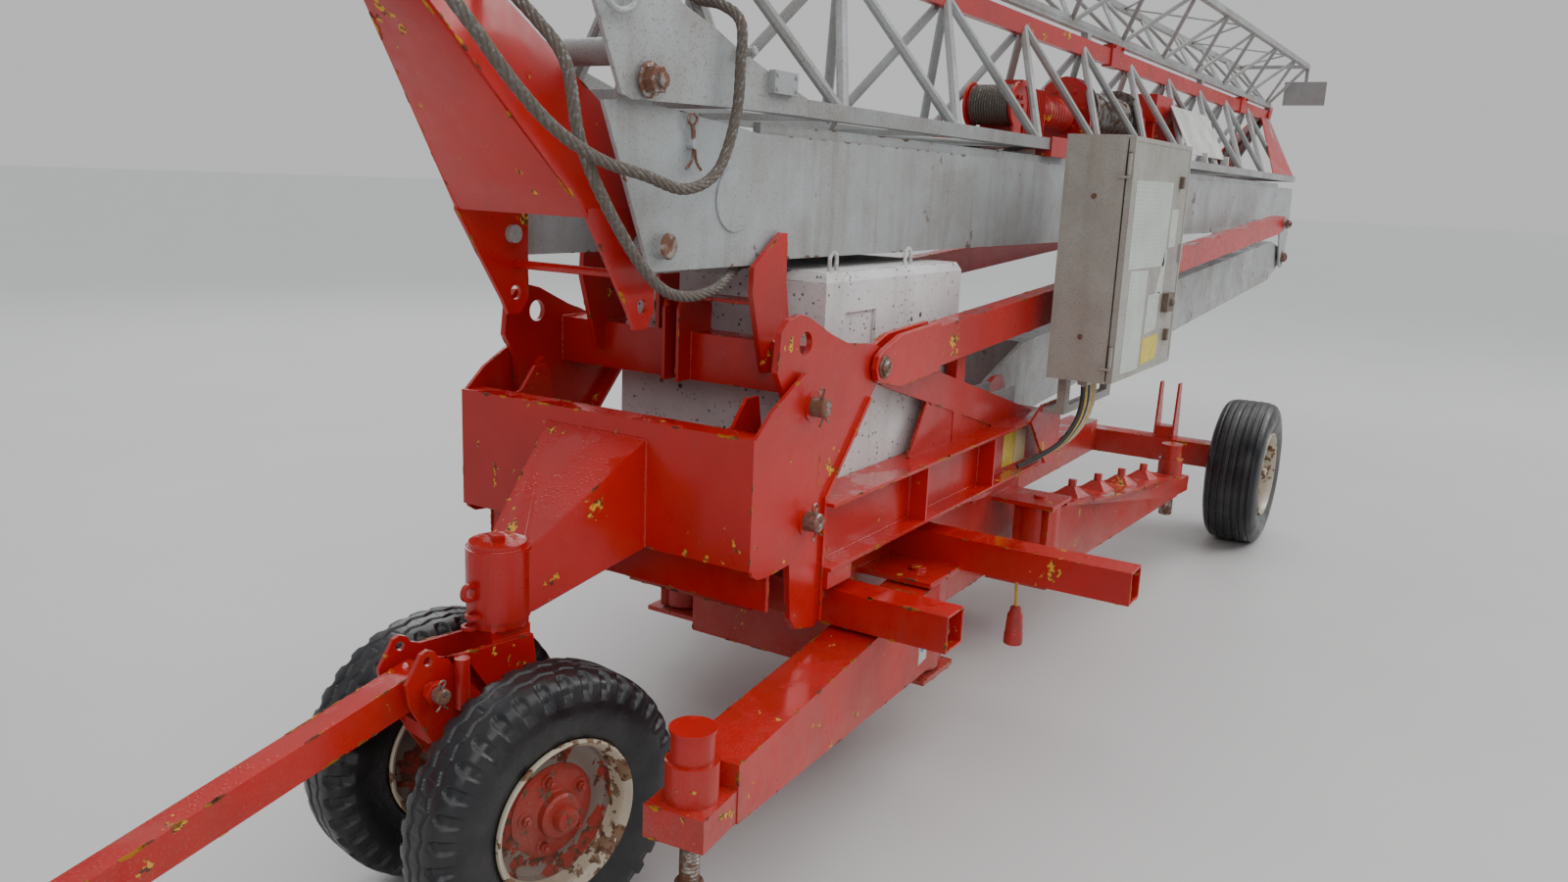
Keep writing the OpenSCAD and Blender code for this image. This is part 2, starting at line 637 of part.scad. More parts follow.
module tip_side() {
  difference() {
    for (i = [0:8]) {
      rod([1400 + i * 920, 0, 2880], [1400 + i * 920 + 460, -300, 3220], 14, 8);
      rod([1400 + i * 920 + 460, -300, 3220], [1400 + i * 920 + 920, 0, 2880], 14, 8);
    }
    bx([1200, -20, 2840], [9900, 40, 2900]);
    bx([1200, -0.3, 2880], [9900, 40, 2960]);
    bx([1200, -330, 3200], [9900, -280, 3260]);
    bx([1200, -280, 3205], [9900, -260, 3260]);
  }
  bx([1380, -20, 2900], [9720, -0.3, 2908]);
}

module load_plate() {
  bx([9870, -480, 2880], [9875, -120, 3090]);
  bx([9870, -315, 3090], [9875, -285, 3235]);
}

// Round cable swept along a smooth curve through the points p
function smooth(p, k) = [for (i = [0:len(p) - 2]) for (j = [0:k - 1])
  let (t = j / k, a = p[max(i - 1, 0)], b = p[i], c = p[i + 1], d = p[min(i + 2, len(p) - 1)])
  0.5 * (2 * b + (c - a) * t + (2 * a - 5 * b + 4 * c - d) * t * t + (3 * b - a - 3 * c + d) * t * t * t), p[len(p) - 1]];
function unit(v) = v / norm(v);
function dir(q, i) = unit(q[min(i + 1, len(q) - 1)] - q[max(i - 1, 0)]);
function ring(q, i, r, n) = let (t = dir(q, i), u = unit(cross(t, [0, 1, 0])), v = cross(t, u))
  [for (k = [0:n - 1]) q[i] + r * (cos(360 * k / n) * u + sin(360 * k / n) * v)];

module tube(p, r, n, k) {
  q = smooth(p, k);
  m = len(q);
  polyhedron(points = [for (i = [0:m - 1]) each ring(q, i, r, n)],
    faces = concat([[for (k = [0:n - 1]) k]], [for (i = [0:m - 2]) for (k = [0:n - 1])
      [i * n + k, (i + 1) * n + k, (i + 1) * n + (k + 1) % n, i * n + (k + 1) % n]], [[for (k = [0:n - 1]) (m - 1) * n + n - 1 - k]]));
}

front_frame();
ballast_cradle();
platform_frame();
ballast_block();
slewing_ring();
undercarriage();
axle_beam();
cabinet();
cabinet_door();
cable_bundle();
rod_tray();
dolly_fork();
drawbar();
color(black) front_wheel_at(-1) tyre(tyre_r, tyre_w, 200);  // front_tyre_near
color(cream) front_wheel_at(-1) rim(200, tyre_w);  // front_rim_near
color(black) front_wheel_at(1) tyre(tyre_r, tyre_w, 200);  // front_tyre_far
color(cream) front_wheel_at(1) rim(200, tyre_w);  // front_rim_far
color(black) rear_wheel_at(-1) tyre(rear_r, rear_w, 235);  // rear_tyre_near
color(cream) rear_wheel_at(-1) rim(235, rear_w);  // rear_rim_near
color(black) rear_wheel_at(1) tyre(rear_r, rear_w, 235);  // rear_tyre_far
color(cream) rear_wheel_at(1) rim(235, rear_w);  // rear_rim_far
leg_front(-1) leg(front_end);  // leg_front_near
leg_front(1) leg(front_end);  // leg_front_far
leg_rear(-1) union() {  // leg_rear_near
  leg(rear_end);
  leg_plate(-1);
}
leg_rear(1) union() {  // leg_rear_far
  leg(rear_end);
  leg_plate(1);
}
leg_front(-1) jack(front_end);  // jack_front_near
leg_front(1) jack(front_end);  // jack_front_far
leg_rear(-1) jack(rear_end);  // jack_rear_near
leg_rear(1) jack(rear_end);  // jack_rear_far
lower_mast();
upper_mast();
color(red) stay();  // stay_near
color(red) mirror([0, 1, 0]) stay();  // stay_far
head_strut();
head_sheave();
color(steel) at_frame() tube(rope_a, 15, 8, 3);  // rope_front
color(steel) at_frame() tube(rope_b, 15, 8, 3);  // rope_rear
jib_chords();
color(grey) at_frame() jib_side();  // jib_side_near
color(grey) at_frame() mirror([0, 1, 0]) jib_side();  // jib_side_far
jib_winch();
jib_placard();
tip_chords();
color(grey) at_frame() tip_side();  // tip_side_near
color(grey) at_frame() mirror([0, 1, 0]) tip_side();  // tip_side_far
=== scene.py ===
# %% [markdown]
# # A folded tower crane
# The crane stands on its road axles after a rain shower. The steel is hand painted red, the mast
# and the jib are grey, and every surface has chips, runs and mud. The solid parts come from the
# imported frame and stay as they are. This script adds their finish and the small things that make
# a machine look used: treads, wire strands, threads, bolts, welds and bare stickers.

import json
import math
import random

import bmesh
import bpy
import numpy as np
from mathutils import Matrix, Vector


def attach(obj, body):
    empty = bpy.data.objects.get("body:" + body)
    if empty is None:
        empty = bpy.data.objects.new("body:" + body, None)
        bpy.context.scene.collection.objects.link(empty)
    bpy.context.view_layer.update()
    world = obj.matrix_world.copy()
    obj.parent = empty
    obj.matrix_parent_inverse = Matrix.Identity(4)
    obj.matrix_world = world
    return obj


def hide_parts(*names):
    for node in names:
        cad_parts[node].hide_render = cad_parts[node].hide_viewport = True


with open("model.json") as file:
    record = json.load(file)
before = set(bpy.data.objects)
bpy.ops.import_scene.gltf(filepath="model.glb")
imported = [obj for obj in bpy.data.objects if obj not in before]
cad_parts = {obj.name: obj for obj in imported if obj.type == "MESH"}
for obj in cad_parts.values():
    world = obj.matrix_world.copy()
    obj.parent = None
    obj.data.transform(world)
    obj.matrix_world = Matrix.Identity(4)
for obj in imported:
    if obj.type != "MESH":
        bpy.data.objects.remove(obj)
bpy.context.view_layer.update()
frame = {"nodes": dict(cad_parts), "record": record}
NODES = frame["nodes"]
KINGPIN_X = -3.77308
MM = 0.001


def at(x, y, z):
    """A point in metres, with x counted from the kingpin, in the frame's own coordinates."""
    return Vector((x + KINGPIN_X, y, z))


# %% [markdown]
# ## Camera
# The photo was taken by hand, so the camera is a little turned on its own axis. Its place and its
# three angles come from the plates, beams and wheels, whose real sizes are known. A matrix made
# of three unit vectors sets all of it at once, which is simpler than Euler angles.

# %% Camera
CAM_PLACE = at(-2.144, -2.18, 2.0)
CAM_YAW, CAM_PITCH, CAM_ROLL = (math.radians(a) for a in (31.34, 12.5, 2.46))
CAM_LENS = 26.87


def make_camera():
    ahead = Vector((math.cos(CAM_PITCH) * math.cos(CAM_YAW), math.cos(CAM_PITCH) * math.sin(CAM_YAW),
                    -math.sin(CAM_PITCH)))
    side = Vector((math.sin(CAM_YAW), -math.cos(CAM_YAW), 0))
    above = side.cross(ahead)
    right = side * math.cos(CAM_ROLL) + above * math.sin(CAM_ROLL)
    up = above * math.cos(CAM_ROLL) - side * math.sin(CAM_ROLL)
    data = bpy.data.cameras.new("camera")
    data.lens = CAM_LENS
    data.sensor_width = 36
    data.clip_end = 200
    camera = bpy.data.objects.new("camera", data)
    bpy.context.scene.collection.objects.link(camera)
    camera.matrix_world = Matrix((
        (right.x, up.x, -ahead.x, CAM_PLACE.x),
        (right.y, up.y, -ahead.y, CAM_PLACE.y),
        (right.z, up.z, -ahead.z, CAM_PLACE.z),
        (0, 0, 0, 1)))
    bpy.context.scene.camera = camera


make_camera()
print("camera at", tuple(round(v, 3) for v in CAM_PLACE), "lens", CAM_LENS)

# %% [markdown]
# ## Small tools
# Most pieces are meshes made from vertices and faces. These helpers turn them into objects,
# keep smooth and flat faces apart by angle, and put one material on them.

# %% Mesh helpers
def new_piece(name, verts, faces, material, smooth=None):
    mesh = bpy.data.meshes.new(name)
    mesh.from_pydata([tuple(v) for v in verts], [], faces)
    mesh.validate()
    piece = bpy.data.objects.new(name, mesh)
    bpy.context.scene.collection.objects.link(piece)
    if material:
        mesh.materials.append(material)
    if smooth is not None:
        shade(piece, smooth)
    return piece


def shade(piece, angle):
    """Smooth shading with a hard edge wherever two faces meet at more than the angle."""
    mesh = piece.data
    mesh.polygons.foreach_set("use_smooth", [True] * len(mesh.polygons))
    mesh.set_sharp_from_angle(angle=math.radians(angle))


class Soup:
    """Vertices and faces of many small shapes that end up in one mesh."""

    def __init__(self):
        self.verts, self.faces = [], []

    def add(self, verts, faces):
        start = len(self.verts)
        self.verts += [Vector(v) for v in verts]
        self.faces += [[start + i for i in f] for f in faces]

    def box(self, low, high):
        self.add(*box_shape(low, high))

    def turn(self, *shape, **how):
        self.add(*turned(*shape, **how))

    def tube(self, *shape):
        self.add(*tube_shape(*shape))

    def piece(self, name, material, smooth=30):
        return new_piece(name, self.verts, self.faces, material, smooth)


def box_shape(low, high):
    (a, b, c), (d, e, f) = low, high
    verts = [(a, b, c), (d, b, c), (d, e, c), (a, e, c), (a, b, f), (d, b, f), (d, e, f), (a, e, f)]
    faces = [(0, 3, 2, 1), (4, 5, 6, 7), (0, 1, 5, 4), (1, 2, 6, 5), (2, 3, 7, 6), (3, 0, 4, 7)]
    return verts, faces


def ring_faces(rows, sides):
    """Faces between rings of points that lie one after another, with a cap at each end."""
    faces = []
    for i in range(rows - 1):
        for k in range(sides):
            n = (k + 1) % sides
            faces.append((i * sides + k, i * sides + n, (i + 1) * sides + n, (i + 1) * sides + k))
    faces.append(tuple(range(sides - 1, -1, -1)))
    faces.append(tuple((rows - 1) * sides + k for k in range(sides)))
    return faces


def plate_faces(n):
    """Faces of a plate whose n front corners come before its n back corners."""
    return ([tuple(range(n)), tuple(range(2 * n - 1, n - 1, -1))]
            + [((k + 1) % n, k, n + k, n + (k + 1) % n) for k in range(n)])


def mount(piece, body):
    """The piece rides its body."""
    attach(piece, body)
    return piece


def turned(profile, place, axis, sides=24, spin=0.0):
    """A closed solid turned round an axis. The profile is (distance along the axis, radius)."""
    axis = Vector(axis).normalized()
    u = axis.orthogonal().normalized()
    v = axis.cross(u)
    verts = []
    for along, radius in profile:
        for k in range(sides):
            a = spin + 2 * math.pi * k / sides
            verts.append(Vector(place) + axis * along + (u * math.cos(a) + v * math.sin(a)) * radius)
    return verts, ring_faces(len(profile), sides)


print("helpers ready")

# %% [markdown]
# ## Shared effects
# Paint on a working machine fails in the same few ways: it chips at edges, it flakes in spots,
# rain draws runs down it, and mud gathers low down. Each of these is a node group that gives a
# mask, so that every paint can use it with its own values.

# %% Node group helpers
def new_group(name, inputs, outputs):
    group = bpy.data.node_groups.new(name, "ShaderNodeTree")
    for label, kind, value in inputs:
        socket = group.interface.new_socket(name=label, in_out="INPUT", socket_type=kind)
        if value is not None:
            socket.default_value = value
    for label, kind in outputs:
        group.interface.new_socket(name=label, in_out="OUTPUT", socket_type=kind)
    return group, group.nodes.new("NodeGroupInput"), group.nodes.new("NodeGroupOutput")


VECTOR = ("Vector", "NodeSocketVector", None)
MASK = ("Mask", "NodeSocketFloat")


def number(label, value):
    return label, "NodeSocketFloat", value


class Wires:
    """Makes nodes in one tree and links them with few words."""

    def __init__(self, tree):
        self.tree = tree

    def node(self, kind, **settings):
        made = self.tree.nodes.new(kind)
        for key, value in settings.items():
            setattr(made, key, value)
        return made

    def link(self, source, target):
        self.tree.links.new(source, target)

    def feed(self, socket, value):
        if isinstance(value, bpy.types.NodeSocket):
            self.link(value, socket)
        else:
            socket.default_value = value

    def math(self, how, a, b=0.0, clamp=False):
        made = self.node("ShaderNodeMath", operation=how, use_clamp=clamp)
        self.feed(made.inputs[0], a)
        self.feed(made.inputs[1], b)
        return made.outputs[0]

    def times(self, a, b):
        return self.math("MULTIPLY", a, b)

    def plus(self, a, b, clamp=False):
        return self.math("ADD", a, b, clamp)

    def minus(self, a, b, clamp=False):
        return self.math("SUBTRACT", a, b, clamp)

    def ramp(self, value, low, high, to_low=0.0, to_high=1.0):
        made = self.node("ShaderNodeMapRange")
        made.clamp = True
        self.feed(made.inputs["Value"], value)
        self.feed(made.inputs["From Min"], low)
        self.feed(made.inputs["From Max"], high)
        self.feed(made.inputs["To Min"], to_low)
        self.feed(made.inputs["To Max"], to_high)
        return made.outputs[0]

    def noise(self, vector, scale, detail=3.0, rough=0.55):
        made = self.node("ShaderNodeTexNoise")
        self.feed(made.inputs["Vector"], vector)
        self.feed(made.inputs["Scale"], scale)
        made.inputs["Detail"].default_value = detail
        made.inputs["Roughness"].default_value = rough
        return made.outputs["Fac"]

    def mix(self, factor, a, b):
        made = self.node("ShaderNodeMix", data_type="RGBA")
        self.feed(made.inputs["Factor"], factor)
        self.feed(made.inputs["A"], a)
        self.feed(made.inputs["B"], b)
        return made.outputs["Result"]

    def stretched(self, vector, by):
        made = self.node("ShaderNodeVectorMath", operation="MULTIPLY")
        self.feed(made.inputs[0], vector)
        made.inputs[1].default_value = by
        return made.outputs[0]

    def use(self, group, **values):
        made = self.node("ShaderNodeGroup")
        made.node_tree = group
        for key, value in values.items():
            self.feed(made.inputs[key.replace("_", " ")], value)
        return made


print("node tools ready")

# %% [markdown]
# Paint leaves an edge first. The bevel of a piece has a material of its own, so the group for
# edges only has to break the line up: a broad noise says where the wear is, and a fine one gives
# each chip its ragged outline.

# %% Effect groups
def build_edge_chips():
    group, given, result = new_group(
        "edge_chips",
        [VECTOR, number("Amount", 0.5), number("Scale", 12.0)],
        [MASK])
    w = Wires(group)
    vector, scale = given.outputs["Vector"], given.outputs["Scale"]
    broad = w.noise(vector, w.times(scale, 0.16), 3.0)
    fine = w.noise(vector, scale, 5.0, 0.7)
    both = w.plus(w.times(broad, 0.45), w.times(fine, 0.55))
    limit = w.minus(0.68, w.times(given.outputs["Amount"], 0.3))
    w.link(w.ramp(both, limit, w.plus(limit, 0.012)), result.inputs["Mask"])
    return group


def build_flakes():
    group, given, result = new_group(
        "paint_flakes",
        [VECTOR, number("Scale", 9.0), number("Amount", 0.3)],
        [MASK, ("Rim", "NodeSocketFloat")])
    w = Wires(group)
    vector, scale = given.outputs["Vector"], given.outputs["Scale"]
    cluster = w.noise(vector, w.times(scale, 0.22), 2.0)
    spots = w.noise(vector, scale, 6.0, 0.6)
    both = w.plus(w.times(cluster, 0.55), w.times(spots, 0.45))
    limit = w.minus(0.78, w.times(given.outputs["Amount"], 0.3))
    w.link(w.ramp(both, limit, w.plus(limit, 0.006)), result.inputs["Mask"])
    w.link(w.ramp(both, w.minus(limit, 0.018), limit), result.inputs["Rim"])
    return group


def build_runs():
    group, given, result = new_group(
        "rain_runs",
        [VECTOR, number("Scale", 14.0)],
        [MASK])
    w = Wires(group)
    vector, scale = given.outputs["Vector"], given.outputs["Scale"]
    tall = w.stretched(vector, (1.0, 1.0, 0.07))
    fine = w.noise(tall, scale, 4.0, 0.6)
    broad = w.noise(vector, 1.3, 2.0)
    w.link(w.times(w.ramp(fine, 0.5, 0.72), w.ramp(broad, 0.4, 0.65)), result.inputs["Mask"])
    return group


def build_grime():
    group, given, result = new_group(
        "low_grime",
        [VECTOR, number("Top", 1.0), number("Scale", 6.0)],
        [MASK])
    w = Wires(group)
    vector, scale = given.outputs["Vector"], given.outputs["Scale"]
    parts = w.node("ShaderNodeSeparateXYZ")
    w.link(vector, parts.inputs[0])
    low = w.ramp(parts.outputs["Z"], given.outputs["Top"], 0.05)
    cloud = w.noise(vector, scale, 5.0, 0.65)
    specks = w.noise(vector, 160.0, 2.0)
    film = w.times(low, w.ramp(cloud, 0.35, 0.75))
    spray = w.times(low, w.ramp(specks, 0.60, 0.66))
    w.link(w.plus(w.times(film, 0.55), w.times(spray, 0.6), True),
           result.inputs["Mask"])
    return group


def build_rain_beads():
    group, given, result = new_group(
        "rain_beads",
        [VECTOR, number("Scale", 70.0)],
        [("Height", "NodeSocketFloat"), ("Wet", "NodeSocketFloat")])
    w = Wires(group)
    vector, scale = given.outputs["Vector"], given.outputs["Scale"]
    facing = w.node("ShaderNodeNewGeometry")
    parts = w.node("ShaderNodeSeparateXYZ")
    w.link(facing.outputs["Normal"], parts.inputs[0])
    top = w.ramp(parts.outputs["Z"], 0.35, 0.8)
    cells = w.node("ShaderNodeTexVoronoi", feature="F1")
    w.link(vector, cells.inputs["Vector"])
    w.link(scale, cells.inputs["Scale"])
    bead = w.ramp(cells.outputs["Distance"], 0.34, 0.12)
    puddle = w.ramp(w.noise(vector, 5.0, 3.0), 0.5, 0.56)
    w.link(w.times(w.times(bead, top), w.minus(1.0, puddle)),
           result.inputs["Height"])
    w.link(w.times(top, puddle), result.inputs["Wet"])
    return group


EDGE_CHIPS = build_edge_chips()
FLAKES = build_flakes()
RUNS = build_runs()
GRIME = build_grime()
BEADS = build_rain_beads()
print("effect groups:", [g.name for g in bpy.data.node_groups])

# %% [markdown]
# ## Paints
# One function makes every painted finish. It stacks the layers as a painter and the weather did:
# base colour with faint brush marks, then flakes that show the old coat, bare edges, dark runs
# and mud. The same masks also steer the roughness and the bump, so a chip looks like a step and
# not like a print.

# %% Paint
def rgb(r, g, b):
    return (r, g, b, 1.0)


def paint_layers(name, colour, dark, under, bare, flakes=0.3, worn=0.0, grime_top=1.0, runs=0.35,
                 roughness=0.32, coat=0.25, brush=0.25, scale=9.0, mud=rgb(0.21, 0.17, 0.13)):
    material = bpy.data.materials.new(name)
    material.use_nodes = True
    w = Wires(material.node_tree)
    shader = material.node_tree.nodes["Principled BSDF"]
    shader.inputs["Coat Roughness"].default_value = 0.12
    shader.inputs["Specular IOR Level"].default_value = 0.4
    place = w.node("ShaderNodeTexCoord").outputs["Object"]
    patches = w.ramp(w.noise(place, 2.2, 4.0), 0.3, 0.7)
    base = w.mix(patches, colour, dark)
    flake = w.use(FLAKES, Vector=place, Scale=scale, Amount=flakes)
    tone = w.ramp(w.noise(place, scale * 2.5, 3.0), 0.49, 0.57)
    old = w.mix(tone, under, bare)
    lost = flake.outputs["Mask"]
    if worn:
        chips = w.use(EDGE_CHIPS, Vector=place, Amount=worn, Scale=scale * 1.6)
        lost = w.math("MAXIMUM", lost, chips.outputs["Mask"])
    coloured = w.mix(lost, base, old)
    run = w.times(w.use(RUNS, Vector=place, Scale=16.0).outputs["Mask"], runs)
    streaked = w.mix(run, coloured, w.mix(0.75, coloured, rgb(0.10, 0.05, 0.035)))
    dirt = w.use(GRIME, Vector=place, Top=grime_top, Scale=5.0).outputs["Mask"]
    w.link(w.mix(dirt, streaked, mud), shader.inputs["Base Color"])
    strokes = w.noise(w.stretched(place, (1.0, 1.0, 0.05)), 260.0, 2.0)
    beads = w.use(BEADS, Vector=place, Scale=75.0)
    rough = w.ramp(w.noise(place, 24.0, 4.0), 0.3, 0.7, roughness - 0.07, roughness + 0.1)
    rough = w.plus(rough, w.times(lost, 0.35))
    rough = w.plus(rough, w.times(dirt, 0.3))
    rough = w.minus(rough, w.times(beads.outputs["Wet"], 0.28), True)
    w.link(w.math("MAXIMUM", rough, 0.05), shader.inputs["Roughness"])
    film = w.plus(coat, w.times(beads.outputs["Wet"], 0.6))
    w.link(w.minus(film, w.times(lost, film), True), shader.inputs["Coat Weight"])
    height = w.minus(w.times(strokes, brush), w.times(lost, 1.2))
    height = w.plus(height, w.times(beads.outputs["Height"], 1.4))
    height = w.plus(height, w.times(w.noise(place, 45.0, 3.0), 0.5))
    bump = w.node("ShaderNodeBump")
    bump.inputs["Strength"].default_value = 0.55
    bump.inputs["Distance"].default_value = 0.0012
    w.link(height, bump.inputs["Height"])
    w.link(bump.outputs[0], shader.inputs["Normal"])
    return material


EDGES = {}


def make_paint(name, *colours, edges=0.45, **finish):
    """The paint of the faces. The worn one of the rounded edges is kept in EDGES by its name."""
    EDGES[name] = paint_layers(name + "_edge", *colours, worn=edges, **finish)
    return paint_layers(name, *colours, **finish)


RUST = rgb(0.10, 0.035, 0.018)
OLD_YELLOW = rgb(0.72, 0.36, 0.03)
RED = make_paint("red_paint", rgb(0.53, 0.010, 0.006), rgb(0.38, 0.008, 0.006), OLD_YELLOW, RUST,
                 flakes=0.50, edges=0.45, grime_top=0.75, roughness=0.33, coat=0.18, scale=30.0,
                 mud=rgb(0.30, 0.22, 0.17))
HUB_RED = make_paint("hub_red", rgb(0.40, 0.022, 0.012), rgb(0.25, 0.020, 0.012),
                     rgb(0.16, 0.07, 0.04), RUST,
                     flakes=0.75, edges=0.9, grime_top=0.8, roughness=0.42, coat=0.08, scale=30.0)
MAST_GREY = make_paint("mast_grey", rgb(0.42, 0.45, 0.46), rgb(0.34, 0.36, 0.365),
                       rgb(0.20, 0.18, 0.16), rgb(0.13, 0.09, 0.065), flakes=0.48, edges=0.45,
                       grime_top=0.0, runs=0.6, roughness=0.36, coat=0.08, scale=22.0)
LATTICE_GREY = make_paint("lattice_grey", rgb(0.40, 0.42, 0.43), rgb(0.30, 0.31, 0.31),
                          rgb(0.22, 0.17, 0.13), rgb(0.14, 0.09, 0.06), flakes=0.3, edges=0.4,
                          grime_top=0.0, roughness=0.45, coat=0.0)
CABINET_GREY = make_paint("cabinet_grey", rgb(0.40, 0.385, 0.34), rgb(0.345, 0.33, 0.295),
                          rgb(0.3, 0.28, 0.25), RUST, flakes=0.1, edges=0.35, grime_top=0.0,
                          runs=0.3, roughness=0.34, coat=0.1)
RIM_CREAM = make_paint("rim_cream", rgb(0.56, 0.50, 0.39), rgb(0.44, 0.37, 0.27),
                       rgb(0.22, 0.13, 0.07), RUST,
                       flakes=0.85, edges=0.9, grime_top=0.5, roughness=0.42, coat=0.05, scale=26.0)
RIM_DISH = make_paint("rim_dish", rgb(0.30, 0.25, 0.21), rgb(0.19, 0.14, 0.12),
                      rgb(0.34, 0.030, 0.02), RUST,
                      flakes=0.85, edges=0.9, grime_top=0.5, roughness=0.5, coat=0.0, scale=13.0)
PLACARD = make_paint("placard_white", rgb(0.74, 0.74, 0.71), rgb(0.66, 0.66, 0.62),
                     rgb(0.5, 0.45, 0.38), RUST,
                     flakes=0.1, edges=0.3, grime_top=0.0, roughness=0.4, coat=0.1)
print("paints:", [m.name for m in bpy.data.materials])

# %% [markdown]
# ## Concrete, rubber and bare metal
# The ballast block is painted concrete: nearly white, with open pores and grey stains, and the pores are
# coloured nearly black as painted shade inside them. The tyres are wet rubber, almost black with a blue
# sheen where the sky shows. Spindles and pins are greasy steel.

# %% Other materials
def plain_material(name):
    material = bpy.data.materials.new(name)
    material.use_nodes = True
    w = Wires(material.node_tree)
    shader = material.node_tree.nodes["Principled BSDF"]
    return material, w, shader, w.node("ShaderNodeTexCoord").outputs["Object"]


def add_bump(w, shader, height, distance, strength=0.6):
    bump = w.node("ShaderNodeBump")
    bump.inputs["Strength"].default_value = strength
    bump.inputs["Distance"].default_value = distance
    w.link(height, bump.inputs["Height"])
    w.link(bump.outputs[0], shader.inputs["Normal"])


def make_concrete(name, worn):
    material, w, shader, place = plain_material(name)
    stain = w.ramp(w.noise(place, 3.5, 5.0), 0.35, 0.7)
    base = w.mix(stain, rgb(0.74, 0.72, 0.72), rgb(0.56, 0.54, 0.52))
    pit_depth_and_shade = w.times(w.ramp(w.noise(place, 90.0, 3.0), 0.66, 0.70), 0.6)
    for scale, low, high in ((38.0, 0.40, 0.56), (15.0, 0.50, 0.60)):
        cells = w.node("ShaderNodeTexVoronoi", feature="F1")
        w.link(place, cells.inputs["Vector"])
        cells.inputs["Scale"].default_value = scale
        gate = w.ramp(w.noise(place, scale * 0.3, 3.0), low, high)
        pores = w.times(w.ramp(cells.outputs["Distance"], 0.20, 0.12), gate)
        pit_depth_and_shade = w.math("MAXIMUM", pit_depth_and_shade, pores)
    run = w.times(w.use(RUNS, Vector=place, Scale=9.0).outputs["Mask"], 0.45)
    # Painted shade: the pores get a nearly black colour for the shade inside them, besides their dent in
    # the bump.
    colour = w.mix(pit_depth_and_shade, base, rgb(0.07, 0.065, 0.06))
    if worn:
        chips = w.use(EDGE_CHIPS, Vector=place, Amount=worn, Scale=40.0).outputs["Mask"]
        colour = w.mix(w.times(chips, 0.75), colour, rgb(0.26, 0.24, 0.22))
    w.link(w.mix(run, colour, rgb(0.30, 0.28, 0.26)), shader.inputs["Base Color"])
    shader.inputs["Roughness"].default_value = 0.72
    height = w.minus(w.times(w.noise(place, 60.0, 5.0), 0.5), pit_depth_and_shade)
    add_bump(w, shader, height, 0.004, 0.8)
    return material


def make_rubber():
    material, w, shader, place = plain_material("wet_rubber")
    dust = w.ramp(w.noise(place, 9.0, 5.0), 0.45, 0.8)
    film = w.mix(w.times(dust, 0.5), rgb(0.012, 0.012, 0.014), rgb(0.055, 0.048, 0.042))
    w.link(film, shader.inputs["Base Color"])
    w.link(w.ramp(w.noise(place, 6.0, 4.0), 0.35, 0.7, 0.14, 0.52), shader.inputs["Roughness"])
    height = w.plus(w.noise(place, 55.0, 6.0), w.times(w.noise(place, 400.0, 2.0), 0.3))
    add_bump(w, shader, height, 0.002, 0.7)
    return material


def make_steel(name, colour, rusty, amount=0.5, roughness=0.35, scale=30.0):
    material, w, shader, place = plain_material(name)
    rust = w.ramp(w.noise(place, scale, 5.0), 0.62 - amount * 0.3, 0.72 - amount * 0.3)
    w.link(w.mix(rust, colour, rusty), shader.inputs["Base Color"])
    w.link(w.minus(1.0, w.times(rust, 0.85)), shader.inputs["Metallic"])
    w.link(w.plus(roughness, w.times(rust, 0.4)), shader.inputs["Roughness"])
    add_bump(w, shader, w.plus(rust, w.noise(place, scale * 5, 3.0)), 0.0008)
    return material


def make_plain(name, colour, other, roughness, scale=40.0):
    material, w, shader, place = plain_material(name)
    tone = w.ramp(w.noise(place, scale, 4.0), 0.35, 0.65)
    w.link(w.mix(tone, colour, other), shader.inputs["Base Color"])
    w.link(w.ramp(tone, 0.0, 1.0, roughness - 0.06, roughness + 0.12), shader.inputs["Roughness"])
    add_bump(w, shader, w.noise(place, scale * 6, 3.0), 0.0006)
    return material


CONCRETE = make_concrete("white_concrete", 0.0)
EDGES["white_concrete"] = make_concrete("white_concrete_edge", 0.65)
RUBBER = make_rubber()
SPINDLE = make_steel("spindle_steel", rgb(0.32, 0.28, 0.25), rgb(0.14, 0.06, 0.03), 0.6, 0.35)
PIN_STEEL = make_steel("pin_steel", rgb(0.34, 0.29, 0.26), rgb(0.17, 0.075, 0.045), 0.75, 0.4, 40.0)
ROPE_STEEL = make_steel("rope_steel", rgb(0.21, 0.20, 0.19), rgb(0.13, 0.105, 0.085), 0.75, 0.5, 90.0)
SHEAVE_IRON = make_steel("sheave_iron", rgb(0.20, 0.19, 0.18), rgb(0.10, 0.05, 0.03), 0.5, 0.45)
CABLE_BLACK = make_plain("cable_black", rgb(0.02, 0.02, 0.02), rgb(0.045, 0.04, 0.035), 0.45)
CABLE_WHITE = make_plain("cable_white", rgb(0.50, 0.47, 0.40), rgb(0.36, 0.33, 0.28), 0.5)
CABLE_YELLOW = make_plain("cable_yellow", rgb(0.62, 0.40, 0.06), rgb(0.45, 0.28, 0.05), 0.5)
LABEL_WHITE = make_plain("label_white", rgb(0.58, 0.60, 0.56), rgb(0.46, 0.48, 0.44), 0.4)
LABEL_YELLOW = make_plain("label_yellow", rgb(0.72, 0.56, 0.04), rgb(0.60, 0.45, 0.04), 0.4)
print("materials:", len(bpy.data.materials))

# %% [markdown]
# ## Dressed steel
# A sheared or flame cut plate has a small round on its edges, and that round is what catches the
# light. Each rigid node is copied, its flat faces are joined, and a narrow bevel is put on every
# real edge. The copy stands for the node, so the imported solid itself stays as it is. Where the
# old coat shows along a sharp edge, small closed slivers lie over it, placed by chance. The upper
# part of the jib's chords is the red ridge.

